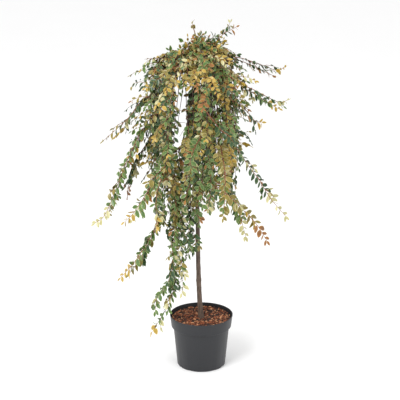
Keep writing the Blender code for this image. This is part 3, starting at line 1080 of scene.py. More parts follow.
def shape_set(name: str, shapes: Sequence[bpy.types.Object]) -> bpy.types.Collection:
    """A collection of the small shapes that a scatter picks from.

    Args:
        name: the collection's name.
        shapes: the shapes, in the order of their names.

    Returns:
        The collection.
    """
    group = bpy.data.collections.new(name)
    bpy.context.scene.collection.children.link(group)
    for shape in shapes:
        bpy.context.scene.collection.objects.unlink(shape)
        group.objects.link(shape)
    return group


def drop_set(group: bpy.types.Collection) -> None:
    """Removes a collection and its shapes when the scatter is done.

    Args:
        group: the collection.
    """
    for shape in list(group.objects):
        bpy.data.objects.remove(shape)
    bpy.data.collections.remove(group)


@dataclass(frozen=True)
class LeafShape:
    """A leaf of unit length with a folded blade, a pale rim and a short stalk."""

    name: str
    width: float
    fold: float
    curl: float
    stations: tuple[float, ...] = (0.10, 0.24, 0.46, 0.68, 0.87)
    rim: float = 0.11
    least_inner: float = 0.55
    stalk: float = 0.08
    blade: float = 0.92
    set_on: float = 0.92
    blunt: float = 0.72
    stalk_point: Place = (0.02, 0.03, 0.0)

    def half_width(self, x: float) -> float:
        """Half the blade's width at a share of its length, widest past the middle."""
        share = (x - self.stalk) / self.blade
        return self.width * math.sin(math.pi * min(max(share, 0.0), 1.0) ** self.set_on) ** self.blunt

    def build(self) -> bpy.types.Object:
        """Makes the leaf as a mesh whose rim faces are marked.

        Returns:
            The leaf.
        """
        points: list[Place] = []
        rows: list[range] = []
        for x in self.stations:
            half = self.half_width(x)
            inner = max(half - self.rim * self.width, half * self.least_inner)
            rows.append(range(len(points), len(points) + 5))
            sag = -self.curl * x * x
            points += [(x, y, sag + abs(y) * self.fold) for y in (-half, -inner, 0.0, inner, half)]
        foot, stalk, tip = len(points), len(points) + 1, len(points) + 2
        points += [(0.0, 0.0, 0.0), self.stalk_point, (1.0, 0.0, -self.curl)]
        first, last = rows[0], rows[-1]
        faces: list[Face] = [
            (foot, first[1], first[2]), (stalk, first[2], first[3]),
            (foot, first[0], first[1]), (stalk, first[3], first[4]),
            (tip, last[2], last[1]), (tip, last[3], last[2]),
            (tip, last[1], last[0]), (tip, last[4], last[3]),
        ]
        on_rim = [False, False, True, True] * 2
        for low, high in zip(rows, rows[1:]):
            for column in range(4):
                faces.append((low[column], high[column], high[column + 1], low[column + 1]))
                on_rim.append(column in (0, 3))
        thing = add_mesh(self.name, points, faces)
        mark(thing, "rim", "BOOLEAN", on_rim, "FACE")
        return thing


LEAF_SHAPES = (
    LeafShape("leaf_a", 0.26, 0.22, 0.10),
    LeafShape("leaf_b", 0.29, 0.30, 0.22),
    LeafShape("leaf_c", 0.22, 0.16, 0.02),
    LeafShape("leaf_d", 0.27, 0.36, 0.34),
)
END_SHAPE = 2


@dataclass(frozen=True)
class Pot:
    """The plastic nursery pot."""

    height: float = 0.160
    rim_r: float = 0.095
    rounding: float = 0.0006
    rim_outer: Span = (0.5, 0.15)
    rim_inner: Span = (0.3, 0.5)
    rim_lip: float = 2
    rim_band: Span = (0.0035, 0.0030)
    collar_r: float = 0.0905
    collar_z: float = 0.1235
    collar_step: float = 0.0008
    collar_edge: float = 0.3
    body_top_r: float = 0.0845
    base_r: float = 0.0728
    foot_r: float = 0.0700
    foot_bevel: float = 0.003
    foot_corner: Span = (0.62, 0.35)
    foot_ring: Span = (0.006, 0.005)
    foot_hollow: float = 0.0008
    edge: float = 0.0006
    wall: float = 0.0018
    floor_top: float = 0.0038
    sides: int = 144
    sharp_deg: float = 28
    notch_first_deg: float = 227.5
    notch_half_gap_deg: float = 15.5
    notch_size: Place = (0.008, 0.014, 0.008)

    def profile(self) -> list[Span]:
        """The outline from the middle of the underside, up the outside and down the inside.

        Returns:
            Radii and heights.
        """
        top, bend, edge, collar_z = self.height, self.rounding, self.edge, self.collar_z
        return [
            (0, self.foot_hollow),
            (self.foot_r - self.foot_ring[0], self.foot_hollow),
            (self.foot_r - self.foot_ring[1], 0),
            (self.foot_r, 0),
            (self.foot_r + self.foot_bevel * self.foot_corner[0], self.foot_bevel * self.foot_corner[1]),
            (self.base_r, self.foot_bevel),
            (self.body_top_r, collar_z - edge),
            (self.body_top_r + edge, collar_z),
            (self.collar_r - edge, collar_z + self.collar_step * self.collar_edge),
            (self.collar_r, collar_z + self.collar_step),
            (self.rim_r - edge, top - self.rim_band[0]),
            (self.rim_r, top - self.rim_band[1]),
            (self.rim_r, top - bend),
            (self.rim_r - bend * self.rim_outer[0], top - bend * self.rim_outer[1]),
            (self.rim_r - self.wall / 2, top),
            (self.rim_r - self.wall + bend * self.rim_inner[0], top - bend * self.rim_inner[1]),
            (self.rim_r - self.wall, top - bend * self.rim_lip),
            (self.collar_r - self.wall, collar_z + self.wall + self.collar_step),
            (self.body_top_r - self.wall, collar_z + self.wall),
            (self.base_r - self.wall, self.floor_top),
            (0, self.floor_top),
        ]

    def build(self) -> None:
        """Turns the pot, cuts the drain notches and gives it its plastic."""
        pot = lathe("pot_shell", self.profile(), self.sides)
        cutter = self.notches()
        cut = pot.modifiers.new("notches", "BOOLEAN")
        cut.operation = "DIFFERENCE"
        cut.solver = "EXACT"
        cut.object = cutter
        pot = settle(pot, "pot_shell")
        bpy.data.objects.remove(cutter)
        smooth(pot, self.sharp_deg)
        pot.data.materials.clear()
        pot.data.materials.append(POT_PLASTIC.build())
        hand_over(pot, ["pot"])

    def notches(self) -> bpy.types.Object:
        """The boxes that cut the drain notches, in pairs round the foot.

        Returns:
            All the boxes as one object.
        """
        points: list[Vector] = []
        faces: list[Face] = []
        sides = [(-size / 2, size / 2) for size in self.notch_size]
        for quarter, side in product(range(4), (-1, 1)):
            degrees = self.notch_first_deg + quarter * 90 + side * self.notch_half_gap_deg
            turn = Matrix.Rotation(math.radians(degrees), 3, "Z")
            faces += [tuple(len(points) + corner for corner in face) for face in BOX_FACES]
            points += [turn @ Vector((self.base_r + x, y, z)) for x, y, z in product(*sides)]
        cutter = add_solid("notch_cutter", points, faces)
        cutter.hide_render = True
        return cutter


BOX_FACES = ((0, 1, 3, 2), (4, 6, 7, 5), (0, 4, 5, 1), (2, 3, 7, 6), (0, 2, 6, 4), (1, 5, 7, 3))
CHIP_ROUGHNESS, CHIP_PATTERN = (0.65, 0.9), 420.0
CHIP_CONTRAST, CHIP_GRAIN = 2.2, 0.0004


class ChipTone(Enum):
    """The tones of the bark chips: name, light tone, dark tone and share of the chips."""

    RUST = ("rust", srgb(150, 82, 46), srgb(112, 58, 32), 0.52)
    DARK = ("dark", srgb(66, 38, 24), srgb(38, 24, 18), 0.30)
    # The pale chips carry the colour of the light on the chips: painted highlight
    PALE = ("pale", srgb(206, 150, 108), srgb(172, 116, 78), 0.18)


@dataclass(frozen=True)
class Soil:
    """The potting soil with its cover of bark chips."""

    rng: random.Random
    top: float = 0.1482
    radius: float = 0.0905
    depth: float = 0.020
    foot_trim: float = 0.002
    relief: float = 0.0022
    relief_scale: float = 130
    top_band: float = 0.001
    rings: int = 14
    sides: int = 96
    chip_count: int = 1150
    chip_size: Span = (0.0045, 0.0125)
    chip_mode: float = 1.4
    chip_shapes: int = 5
    chip_lumps: Span = (0.72, 1.25)
    chip_width: Span = (0.40, 0.62)
    chip_thickness: Span = (0.20, 0.38)
    chip_lift: Span = (-0.0002, 0.0032)
    chip_tilt: float = 0.25
    chip_roll: float = 0.3
    wall_gap: float = 0.45
    stem_gap: float = 0.3

    def build(self, scatter: Scatter) -> None:
        """Makes the ground and strews the chips, a piece for each tone.

        Args:
            scatter: the tree that sets chips on points.
        """
        self.ground()
        group = shape_set("chips", [self.chip(number) for number in range(self.chip_shapes)])
        for tone in ChipTone:
            label, light, dark, share = tone.value
            cloud = self.strewn(round(self.chip_count * share))
            bark = Finish(
                f"chip_{label}", light, dark, CHIP_ROUGHNESS, CHIP_PATTERN, CHIP_CONTRAST, grain=CHIP_GRAIN
            ).build()
            values = {"Shapes": group, "Size": 1.0, "Face": bark, "Rim": bark}
            piece = scatter.run(cloud.to_object("chip_points"), f"bark_chips_{label}", values)
            hand_over(piece, ["soil"])
        drop_set(group)

    def ground(self) -> None:
        """Makes the uneven ground under the chips."""
        foot = self.top - self.depth
        profile = [(0.0, self.top)]
        profile += [(self.radius * ring / self.rings, self.top) for ring in range(1, self.rings + 1)]
        profile += [(self.radius - self.foot_trim, foot), (0.0, foot)]
        ground = lathe("soil_ground", profile, self.sides)
        for vertex in ground.data.vertices:
            if vertex.co.z > self.top - self.top_band:
                vertex.co.z += noise.noise(vertex.co * self.relief_scale) * self.relief
        ground.data.shade_smooth()
        ground.data.materials.append(EARTH.build())
        hand_over(ground, ["soil"])

    def chip(self, number: int) -> bpy.types.Object:
        """One splinter of bark of unit length, from a ball with few faces.

        Args:
            number: its number among the chips' shapes.

        Returns:
            The splinter.
        """
        shape = bmesh.new()
        bmesh.ops.create_icosphere(shape, subdivisions=1, radius=0.5)
        for vertex in shape.verts:
            vertex.co *= self.rng.uniform(*self.chip_lumps)
            vertex.co.y *= self.rng.uniform(*self.chip_width)
            vertex.co.z *= self.rng.uniform(*self.chip_thickness)
        mesh = bpy.data.meshes.new(f"chip_{number}")
        shape.to_mesh(mesh)
        shape.free()
        return show(f"chip_{number}", mesh)

    def strewn(self, count: int) -> Cloud:
        """Chips over the ground, clear of the pot's wall and of the stem.

        Args:
            count: the number of chips.

        Returns:
            Their points.
        """
        cloud = Cloud()
        while len(cloud.places) < count:
            size = self.rng.triangular(*self.chip_size, self.chip_size[0] * self.chip_mode)
            radius = self.radius * math.sqrt(self.rng.random())
            least, most = TRUNK.foot_r + size * self.stem_gap, self.radius - size * self.wall_gap
            if radius > most or radius < least:
                continue
            angle = self.rng.uniform(0, math.tau)
            place = around(angle, radius, self.top + self.rng.uniform(*self.chip_lift))
            heading = self.rng.uniform(0, math.tau)
            axis = around(heading, 1.0, self.rng.gauss(0, self.chip_tilt))
            normal = Vector((self.rng.gauss(0, self.chip_roll), self.rng.gauss(0, self.chip_roll), 1))
            cloud.put(place, axis, normal, size, self.rng.randrange(self.chip_shapes))
        return cloud


@dataclass(frozen=True)
class Limb:
    """A tapering limb with bark relief along a line.

    The name seeds the relief, so that no two limbs share it, and the relief's depth is a share of the
    radius, which is given for a share of the length.
    """

    name: str
    line: Sequence[Vector]
    radius: Callable[[float], float]
    sides: int
    relief: float

    def points(self) -> list[Vector]:
        """The rings of its surface, from root to tip.

        Returns:
            The points, ring after ring.
        """
        offset = Vector((sum(map(ord, self.name)) % RELIEF_SEEDS, 0, 0))
        line, last = self.line, len(self.line) - 1
        side = UP.orthogonal() if abs((line[1] - line[0]).normalized().z) > STEEP else UP
        points: list[Vector] = []
        for index, place in enumerate(line):
            along = (line[min(index + 1, last)] - line[max(index - 1, 0)]).normalized()
            side = (side - along * side.dot(along)).normalized()
            other = along.cross(side)
            size = self.radius(index / last)
            for step in range(self.sides):
                angle = math.tau * step / self.sides
                way = side * math.cos(angle) + other * math.sin(angle)
                spot = place + way * size
                grain = Vector((spot.x * FURROWS_ACROSS, spot.y * FURROWS_ACROSS, spot.z * FURROWS_ALONG))
                bumps = noise.noise(grain + offset) + LUMP_DEPTH * noise.noise(spot * LUMPS + offset)
                points.append(place + way * size * (1 + self.relief * bumps))
        return points

    def faces(self, base: int) -> list[Face]:
        """Its faces, closed at both ends.

        Args:
            base: the number of its first point.

        Returns:
            The faces.
        """
        sides, rings = self.sides, len(self.line)
        faces: list[Face] = []
        for ring, step in product(range(rings - 1), range(sides)):
            after = (step + 1) % sides
            low, high = base + ring * sides, base + (ring + 1) * sides
            faces.append((low + step, low + after, high + after, high + step))
        faces.append(tuple(reversed(range(base, base + sides))))
        faces.append(tuple(range(base + (rings - 1) * sides, base + rings * sides)))
        return faces


@dataclass(frozen=True)
class Wood:
    """The stem and the boughs that leave its head."""

    ring_step: float = 0.0016
    stem_sides: int = 30
    stem_relief: float = 0.075
    bough_root_r: float = 0.0027
    bough_tip_r: float = 0.0017
    bough_lift: float = 0.06
    bough_share: float = 0.55
    bough_steps: int = 24
    bough_sides: int = 12
    bough_relief: float = 0.07
    sharp_deg: float = 60

    def build(self) -> None:
        """Makes the stem and the boughs as two pieces."""
        span = TRUNK.top_z - TRUNK.foot_z
        count = round(span / self.ring_step)
        line = [TRUNK.axis(TRUNK.foot_z + span * step / count) for step in range(count + 1)]
        stem = Limb("stem", line, TRUNK.thickness, self.stem_sides, self.stem_relief)
        self.piece("stem", [stem], STEM_BARK, ["trunk"])
        boughs = [
            Limb(tress.name, self.bough_line(tress), self.bough_radius, self.bough_sides, self.bough_relief)
            for tress in TRESSES
        ]
        self.piece("boughs", boughs, BOUGH_BARK, [f"bough_{tress.name}" for tress in TRESSES])

    def bough_line(self, tress: Tress) -> list[Vector]:
        """The part of a tress's arch that is a bough."""
        arch, steps = tress.arch(self.bough_lift, 0.0, 0.0), self.bough_steps
        return [at(arch, self.bough_share * step / steps) for step in range(steps + 1)]

    def bough_radius(self, share: float) -> float:
        """A bough's radius at a share of its length."""
        return self.bough_root_r + (self.bough_tip_r - self.bough_root_r) * share

    def piece(self, name: str, limbs: Sequence[Limb], bark: Finish, nodes: Sequence[str]) -> None:
        """Joins limbs into one piece with its bark.

        Args:
            name: the piece's name.
            limbs: the limbs.
            bark: its finish, whose name is also the material slot's.
            nodes: the CAD nodes that it stands for.
        """
        points: list[Vector] = []
        faces: list[Face] = []
        for limb in limbs:
            faces += limb.faces(len(points))
            points += limb.points()
        thing = add_solid(name, points, faces)
        smooth(thing, self.sharp_deg)
        thing.data.materials.append(bark.build())
        hand_over(thing, nodes)


@dataclass(frozen=True)
class Habit:
    """How a kind of stem grows: its thickness, and the spacing of its leaves and side twigs.

    Bare is the share of its line that has neither, and twigless is the number of leafy steps without a
    twig.
    """

    zone: Zone
    root_r: float
    tip_r: float
    leaf_spacing: float
    twig_spacing: float
    twig_reach: Span
    bare: float = 0.0
    twigless: int = 0


OVER_DOME = Habit(Zone.DOME, STRAND_ROOT_R, SHOULDER_STRAND_R, 0.012, 0.019, (0.018, 0.042), 0.25)
HANGING = Habit(Zone.CURTAIN, SHOULDER_STRAND_R, STRAND_TIP_R, 0.013, 0.050, (0.025, 0.055))
ROUND_STEM = Habit(Zone.CURTAIN, STRAND_ROOT_R, STRAND_TIP_R, 0.014, 0.034, (0.022, 0.045), 0.2)
TUFT = Habit(Zone.DOME, SHOULDER_STRAND_R, TWIG_TIP_R, 0.010, 0.028, (0.018, 0.034), twigless=2)
BELOW_GAP = Habit(Zone.CURTAIN, STRAND_ROOT_R, STRAND_TIP_R, 0.013, 0.020, (0.022, 0.050), 0.4)
LOWER = Habit(Zone.CURTAIN, STRAND_ROOT_R * 0.75, STRAND_TIP_R, 0.0085, 0.020, (0.018, 0.040))
LONG = Habit(Zone.SHOOT, SHOOT_ROOT_R, STRAND_TIP_R, 0.0082, 0.034, (0.018, 0.042))


@dataclass
class Stem:
    """A thin stem's line with its radii, its age and its part of the crown."""

    line: list[Vector]
    root_r: float
    tip_r: float
    young: bool
    zone: Zone


@dataclass
class Crown:
    """The weeping crown: strands, twigs and leaves that grow by a seeded rule."""

    rng: random.Random
    strands_per_tress: int = 6
    long_strand_every: int = 3
    strand_spread: float = 1.15
    strand_scatter: float = 0.15
    strand_out: Span = (-0.030, 0.006)
    strand_lift: Span = (0.05, 0.17)
    right_lift: float = 0.035
    short_reach: Span = (0.34, 0.86)
    long_reach: Span = (0.74, 1.08)
    fringe_spacing: float = 0.092
    fringe_reach: Span = (0.045, 0.085)
    fringe_turn: float = 0.5
    fringe_lift: float = 0.25
    fringe_droop: float = 0.13
    fringe_leaf_spacing: float = 0.0085
    wander: Span = (0.10, 0.06)
    twig_way: float = 0.05
    twig_heading: Place = (0.8, 0.8, 0.45)
    top_twig_lift: float = 0.25
    low_twig_lift: float = -0.30
    twig_droop: float = 0.16
    twig_leaf_spacing: float = 0.0108
    bronze_tips: float = 0.10
    inner_strands: int = 3
    inner_top_z: float = 0.846
    inner_fan_deg: float = 20
    inner_reach: Span = (0.7, 1.1)
    inner_rise: float = 0.16
    inner_bow: float = 1.2
    inner_lift: float = 0.02
    inner_handle: float = 0.6
    tuft_lines: int = 34
    tuft_turn_rad: float = 2.4
    tuft_spread: float = 0.44
    tuft_lean: float = 0.16
    tuft_z: float = 0.900
    tuft_root: float = 0.002
    tuft_reach: Span = (0.078, 0.120)
    tuft_droop: float = 0.035
    tuft_station: Span = (0.905, 0.11)
    shoot_bow: float = 0.30
    shoot_rise: float = 0.02
    shoot_twigs_from: float = 0.10
    companion_share: float = 0.86
    companion_offset: Place = (0.0, 0.030, -0.026)
    spray_turn: float = 0.35
    spray_up: Span = (0.15, 1.0)
    leaf_shift: Span = (0.3, 0.9)
    leaf_way: float = 0.04
    leaf_length: Span = (0.0145, 0.0195)
    low_leaf_gain: float = 0.0060
    low_leaf_from_z: float = 0.92
    low_leaf_span: float = 0.5
    shoot_leaf_gain: float = 1.15
    leaf_lean: Span = (0.45, 1.05)
    leaf_droop: float = 0.25
    leaf_tumble: float = 0.60
    end_tumble: float = 0.3
    end_size: float = 0.75
    small_leaf: float = 0.72
    small_from: float = 0.86
    tips_from: float = 0.80
    twig_sides: int = 5
    stems: list[Stem] = field(default_factory=list)
    clouds: dict[tuple[Zone, Tint], Cloud] = field(default_factory=dict)

    def open_sky(self, point: Vector) -> bool:
        """Whether a leaf or twig at this point is left out for the sky behind it."""
        return any(gap.holds(point) and self.rng.random() > gap.kept for gap in GAPS)

    def stray(self, spread: float) -> Vector:
        """A random offset."""
        return Vector([self.rng.gauss(0, spread) for _ in range(3)])

    def tint_at(self, point: Vector, zone: Zone) -> Tint:
        """The tint of a spray, by its place: golden over the middle, green low down.

        Args:
            point: the spray's place.
            zone: its part of the crown.

        Returns:
            The tint that it is dealt.
        """
        weights = LOWER_TINTS
        if zone is Zone.SHOOT:
            weights = SHOOT_TINTS
        elif point.z > TOP_Z:
            weights = TOP_TINTS
        elif point.z > GOLDEN_Z and GOLDEN_LEFT < point.x < GOLDEN_RIGHT:
            weights = GOLDEN_TINTS
        elif point.z > UPPER_Z:
            weights = UPPER_TINTS
        return self.rng.choices(tuple(Tint), weights)[0]

    def grow(self, start: Vector, heading: Vector, length: float, droop: float) -> list[Vector]:
        """A twig's wandering line.

        Args:
            start: its root.
            heading: the way it leaves its parent.
            length: its length.
            droop: how fast it bends down, per step.

        Returns:
            Points along the twig.
        """
        count = max(3, round(length / PATH_STEP))
        level, upright = self.wander
        line, way = [start.copy()], heading.normalized()
        for _ in range(count):
            sideways, ahead = self.rng.gauss(0, level), self.rng.gauss(0, level)
            stray = Vector((sideways, ahead, self.rng.gauss(0, upright) - droop))
            way = (way + stray).normalized()
            line.append(line[-1] + way * (length / count))
        return line

    def leaf_size(self, point: Vector) -> float:
        """A leaf's length at a place: small over the dome and large low down."""
        low = min(max((self.low_leaf_from_z - point.z) / self.low_leaf_span, 0.0), 1.0)
        return self.rng.uniform(*self.leaf_length) + self.low_leaf_gain * low

    def dress(
        self, line: list[Vector], zone: Zone, tint: Tint, spacing: float, tips: Tint | None = None
    ) -> None:
        """Deals leaves along a stem, in two ranks.

        Args:
            line: the stem's line.
            zone: its part of the crown.
            tint: the spray's tint.
            spacing: from leaf to leaf.
            tips: the tint of the last leaves, where it differs.
        """
        count = max(2, round(length_of(line) / spacing))
        rank = self.rng.choice((-1, 1))
        facing = outward(line[len(line) // 2])
        sideways, ahead = self.rng.gauss(0, self.spray_turn), self.rng.gauss(0, self.spray_turn)
        stray = Vector((sideways, ahead, self.rng.uniform(*self.spray_up)))
        facing = (facing + stray).normalized()
        for number in range(count):
            share = (number + self.rng.uniform(*self.leaf_shift)) / count
            place = at(line, share)
            if self.open_sky(place):
                continue
            along = way_at(line, share, self.leaf_way)
            side = along.cross(facing).normalized() * rank * (1 if number % 2 else -1)
            axis = along * self.rng.uniform(*self.leaf_lean) + side + Vector((0, 0, -self.leaf_droop))
            normal = facing + self.stray(self.leaf_tumble)
            size = self.leaf_size(place) * (self.small_leaf if share > self.small_from else 1.0)
            size *= self.shoot_leaf_gain if zone is Zone.SHOOT else 1.0
            chosen = tips if tips is not None and share > self.tips_from else tint
            self.cloud(zone, chosen).put(place, axis, normal, size, self.rng.randrange(len(LEAF_SHAPES)))
        end = line[-1]
        if not self.open_sky(end):
            along = (end - line[-2]).normalized()
            normal = facing + self.stray(self.end_tumble)
            size = self.leaf_size(end) * self.end_size
            self.cloud(zone, tips or tint).put(end, along, normal, size, END_SHAPE)

    def cloud(self, zone: Zone, tint: Tint) -> Cloud:
        """The points of one zone's leaves of one tint."""
        return self.clouds.setdefault((zone, tint), Cloud())

    def twig(self, line: list[Vector], zone: Zone, spacing: float, tips: Tint | None) -> None:
        """Adds a leafy twig, in the tint that its root is dealt."""
        self.stems.append(Stem(line, TWIG_ROOT_R, TWIG_TIP_R, True, zone))
        self.dress(line, zone, self.tint_at(line[0], zone), spacing, tips)

    def side_twigs(self, line: list[Vector], habit: Habit) -> None:
        """Grows short leafy twigs from a stem.

        Args:
            line: the stem's line.
            habit: how this kind of stem grows.
        """
        count = round(length_of(line) / habit.twig_spacing)
        for number in range(count):
            share = (number + self.rng.random()) / count
            root = at(line, share)
            if self.open_sky(root):
                continue
            along = way_at(line, share, self.twig_way)
            spread = self.stray(1)
            spread = (spread - along * spread.dot(along)).normalized()
            lift = self.top_twig_lift if root.z > TOP_Z else self.low_twig_lift
            ahead, aside, away = self.twig_heading
            heading = along * ahead + spread * aside + outward(root) * away + UP * lift
            twig = self.grow(root, heading, self.rng.uniform(*habit.twig_reach), self.twig_droop)
            tips = Tint.BRONZE if self.rng.random() < self.bronze_tips else None
            self.twig(twig, habit.zone, self.twig_leaf_spacing, tips)

    def strand(self, line: list[Vector], habit: Habit, tint: Tint | None = None) -> None:
        """Grows a stem with its leaves and side twigs.

        Args:
            line: the stem's line.
            habit: how this kind of stem grows.
            tint: the tint of its own leaves, or None for the one that its tip is dealt.
        """
        self.stems.append(Stem(line, habit.root_r, habit.tip_r, False, habit.zone))
        leafy = line[int(len(line) * habit.bare) :]
        tint = tint or self.tint_at(line[-1], habit.zone)
        self.dress(leafy, habit.zone, tint, habit.leaf_spacing)
        self.side_twigs(leafy[habit.twigless :], habit)

    def tresses(self) -> None:
        """Grows the strands of every tress: over the dome, then down the curtain."""
        for tress, number in product(TRESSES, range(self.strands_per_tress)):
            width = tress.half_width
            across = (number / (self.strands_per_tress - 1) * 2 - 1) * width * self.strand_spread
            across += self.rng.gauss(0, width * self.strand_scatter)
            out = self.rng.uniform(*self.strand_out)
            lift = self.rng.uniform(*self.strand_lift) + self.right_lift * tress.out().x
            arch = tress.arch(lift, out, across)
            short = number % self.long_strand_every
            reach = self.rng.uniform(*(self.short_reach if short else self.long_reach))
            hanging = tress.hanging(out, across, reach)
            self.strand(arch, OVER_DOME)
            self.strand(hanging, HANGING)
            self.fringe(arch[len(arch) // 2 :] + hanging[: len(hanging) * 2 // 3])

    def fringe(self, line: list[Vector]) -> None:
        """Grows longer twigs that stand out from a strand and nod, which break the crown's outline.

        Args:
            line: the strand's line.
        """
        count = round(length_of(line) / self.fringe_spacing)
        for number in range(count):
            root = at(line, (number + self.rng.random()) / count)
            sideways, ahead = self.rng.gauss(0, self.fringe_turn), self.rng.gauss(0, self.fringe_turn)
            heading = outward(root) + Vector((sideways, ahead, self.fringe_lift))
            twig = self.grow(root, heading, self.rng.uniform(*self.fringe_reach), self.fringe_droop)
            if self.open_sky(twig[-1]) or self.open_sky(root):
                continue
            tips = self.rng.choice(FRINGE_TIPS)
            self.twig(twig, Zone.CURTAIN, self.fringe_leaf_spacing, tips)

    def inner_growth(self) -> None:
        """Grows the short strands that hang round the stem."""
        top, middle = self.inner_top_z, self.inner_strands // 2
        for inner, number in product(INNERS, range(self.inner_strands)):
            out = around(math.radians(inner.azimuth + (number - middle) * self.inner_fan_deg))
            start = TRUNK.axis(top) + out * BARK_OFFSET
            reach = inner.reach * self.rng.uniform(*self.inner_reach)
            low = inner.hem_z + self.rng.uniform(0, self.inner_rise) * (number != middle)
            end = Vector((HEAD.x, 0, low)) + out * reach
            first = start + out * reach * self.inner_bow + UP * self.inner_lift
            last = end + UP * (top - low) * self.inner_handle
            self.strand(bezier(start, first, last, end), ROUND_STEM)

    def centre(self) -> None:
        """Grows the upright tuft over the head of the stem."""
        for number in range(self.tuft_lines):
            angle = number * self.tuft_turn_rad
            spread = self.tuft_spread * math.sqrt(self.rng.random())
            heading = Vector((math.cos(angle) * spread + self.tuft_lean, math.sin(angle) * spread, 1))
            start = TRUNK.axis(self.tuft_z) + heading * self.tuft_root
            line = self.grow(start, heading, self.rng.uniform(*self.tuft_reach), self.tuft_droop)
            self.strand(line, TUFT)

    def station(self, parent: str, share: float) -> Vector:
        """A point on the line of a shoot's parent.

        Args:
            parent: the part of the crown and the tress, as in the CAD node's name.
            share: the share of the line.

        Returns:
            The point.
        """
        part, _, name = parent.partition("_")
        if part == "crown":
            low, height = self.tuft_station
            return Vector((HEAD.x, 0, low + height * share))
        tress = next(tress for tress in TRESSES if tress.name == name)
        if part == "shoulder":
            return at(tress.arch(MIDDLE_LIFT, 0.0, 0.0), share)
        return at(tress.hanging(0.0, 0.0, 1.0), share)

    def shoots(self) -> None:
        """Grows the long shoots, along the routes in the photograph where it shows them."""
        for shoot in SHOOTS:
            root, tip = self.station(shoot.parent, shoot.station), Vector(shoot.tip)
            steps = len(shoot.trace) + 1
            between = [
                PhotoCamera.place(u, v, root.y + (tip.y - root.y) * (number + 1) / steps)
                for number, (u, v) in enumerate(shoot.trace)
            ]
            if not between:
                away = outward(tip) * (tip - root).length * self.shoot_bow
                between = [root.lerp(tip, 0.5) + away * 0.5 + UP * self.shoot_rise]
            line = through([root, *between, tip])
            self.long_shoot(line)
            if shoot.trace and (tip.x < 0 or shoot.parent.startswith("shoulder")):
                count = round(len(line) * self.companion_share)
                offset = Vector(self.companion_offset)
                self.long_shoot([line[index] + offset * (index / count) for index in range(count)])

    def long_shoot(self, line: list[Vector]) -> None:
        """One long shoot with its leaves and short side twigs.

        Args:
            line: the shoot's line.
        """
        self.stems.append(Stem(line, LONG.root_r, LONG.tip_r, True, LONG.zone))
        tips = self.rng.choice(LONG_TIPS)
        tint = self.rng.choice(LONG_LEAVES)
        self.dress(line, LONG.zone, tint, LONG.leaf_spacing, tips)
        if length_of(line) > self.shoot_twigs_from:
            self.side_twigs(line[: len(line) * 5 // 6], LONG)

    def build(self, scatter: Scatter, rods: Rods) -> None:
        """Grows everything, then makes the pieces: wood by age and zone, leaves by tint and zone.

        Args:
            scatter: the tree that sets leaves on points.
            rods: the tree that gives stems their thickness.
        """
        self.tresses()
        self.inner_growth()
        self.centre()
        self.shoots()
        for points in LOWER_TRESS:
            self.strand(through(points), LOWER, Tint.MATURE)
        for route in MIDDLE_STRANDS:
            self.strand(route.line(), BELOW_GAP)
        self.twig_pieces(rods)
        self.leaf_pieces(scatter)

    def twig_pieces(self, rods: Rods) -> None:
        """Makes the stems as round rods, old and young wood apart.

        Args:
            rods: the tree that gives stems their thickness.
        """
        ages = ((False, "old", OLD_TWIG.build()), (True, "young", YOUNG_TWIG.build()))
        for zone, (young, label, bark) in product(Zone, ages):
            stems = [stem for stem in self.stems if stem.zone is zone and stem.young is young]
            if not stems:
                continue
            values = {"Sides": self.twig_sides, "Bark": bark}
            piece = rods.run(self.lines(stems), f"twigs_{zone.value}_{label}", values)
            piece.data.shade_smooth()
            hand_over(piece, zone.nodes())

    @staticmethod
    def lines(stems: Sequence[Stem]) -> bpy.types.Object:
        """The stems' lines as edges whose points carry their thickness.

        Args:
            stems: the stems.

        Returns:
            The object with the edges.
        """
        points: list[Vector] = []
        edges: list[Face] = []
        thickness: list[float] = []
        for stem in stems:
            base, last = len(points), len(stem.line) - 1
            points += stem.line
            edges += [(base + index, base + index + 1) for index in range(last)]
            gain = stem.tip_r - stem.root_r
            thickness += [stem.root_r + gain * index / last for index in range(last + 1)]
        thing = add_mesh("lines", points, edges=edges)
        mark(thing, "thickness", "FLOAT", thickness)
        return thing

    def leaf_pieces(self, scatter: Scatter) -> None:
        """Makes the leaves, a piece for each tint in each zone.

        Args:
            scatter: the tree that sets leaves on points.
        """
        group = shape_set("leaves", [shape.build() for shape in LEAF_SHAPES])
        finishes = {tint: (tint.blade().build(), tint.rim().build()) for tint in Tint}
        for (zone, tint), cloud in self.clouds.items():
            blade, rim = finishes[tint]
            name = f"leaves_{zone.value}_{tint.label}"
            values = {"Shapes": group, "Size": 1.0, "Face": blade, "Rim": rim}
            piece = scatter.run(cloud.to_object(name), name, values)
            LOG.info("%s: %d leaves", name, len(cloud.places))
            hand_over(piece, zone.nodes())
        drop_set(group)


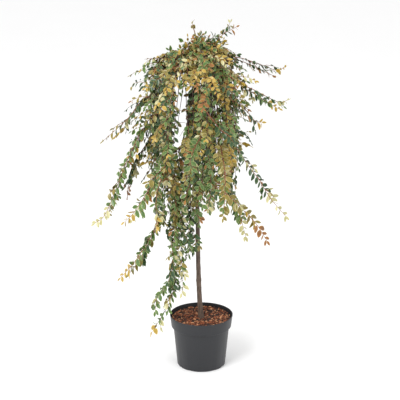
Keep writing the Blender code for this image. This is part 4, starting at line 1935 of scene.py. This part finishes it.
@dataclass(frozen=True)
class Lamp:
    """A square lamp aimed at the middle of the plant."""

    name: str
    place: Place
    size: float
    power: float
    aim: Place = (0, 0, 0.55)

    def build(self) -> None:
        """Makes the lamp."""
        data = bpy.data.lights.new(self.name, "AREA")
        data.size = self.size
        data.energy = self.power
        lamp = show(self.name, data)
        lamp.location = self.place
        way = Vector(self.aim) - Vector(self.place)
        lamp.rotation_euler = way.to_track_quat("-Z", "Y").to_euler()


@dataclass(frozen=True)
class Studio:
    """The pale floor and the soft light."""

    reach: float = 20
    sky_strength: float = 1.0
    lamps: tuple[Lamp, ...] = (
        Lamp("key", (-1.6, -2.3, 3.1), 1.6, 92.0),
        Lamp("fill", (2.2, -1.8, 2.0), 2.6, 14.0),
    )

    def build(self) -> None:
        """Makes the floor, the sky light and the lamps."""
        far = self.reach
        corners = [(-far, -far, 0), (far, -far, 0), (far, far, 0), (-far, far, 0)]
        floor = add_mesh("floor", corners, [(0, 1, 2, 3)])
        floor.data.materials.append(FLOOR_PAINT.build())
        world = bpy.data.worlds.new("studio")
        world.use_nodes = True
        sky = world.node_tree.nodes["Background"].inputs
        sky["Color"].default_value = (1, 1, 1, 1)
        sky["Strength"].default_value = self.sky_strength
        bpy.context.scene.world = world
        for lamp in self.lamps:
            lamp.build()
        bpy.context.scene.view_settings.view_transform = VIEW_TRANSFORM


def clear_startup() -> None:
    """Removes what Blender's startup file put into the scene."""
    kept = {*frame["nodes"].values(), *frame["bodies"].values()}
    for thing in list(bpy.data.objects):
        if thing not in kept:
            bpy.data.objects.remove(thing)


def main() -> None:
    """Builds the studio, the pot, the soil, the wood and the crown."""
    logging.basicConfig(level=logging.INFO, format="%(name)s: %(message)s")
    clear_startup()
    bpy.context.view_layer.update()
    PhotoCamera().build()
    Studio().build()
    scatter, rods = Scatter(), Rods()
    Pot().build()
    Soil(random.Random(SEED)).build(scatter)
    Wood().build()
    Crown(random.Random(SEED + 1)).build(scatter, rods)


if __name__ == "__main__":
    main()
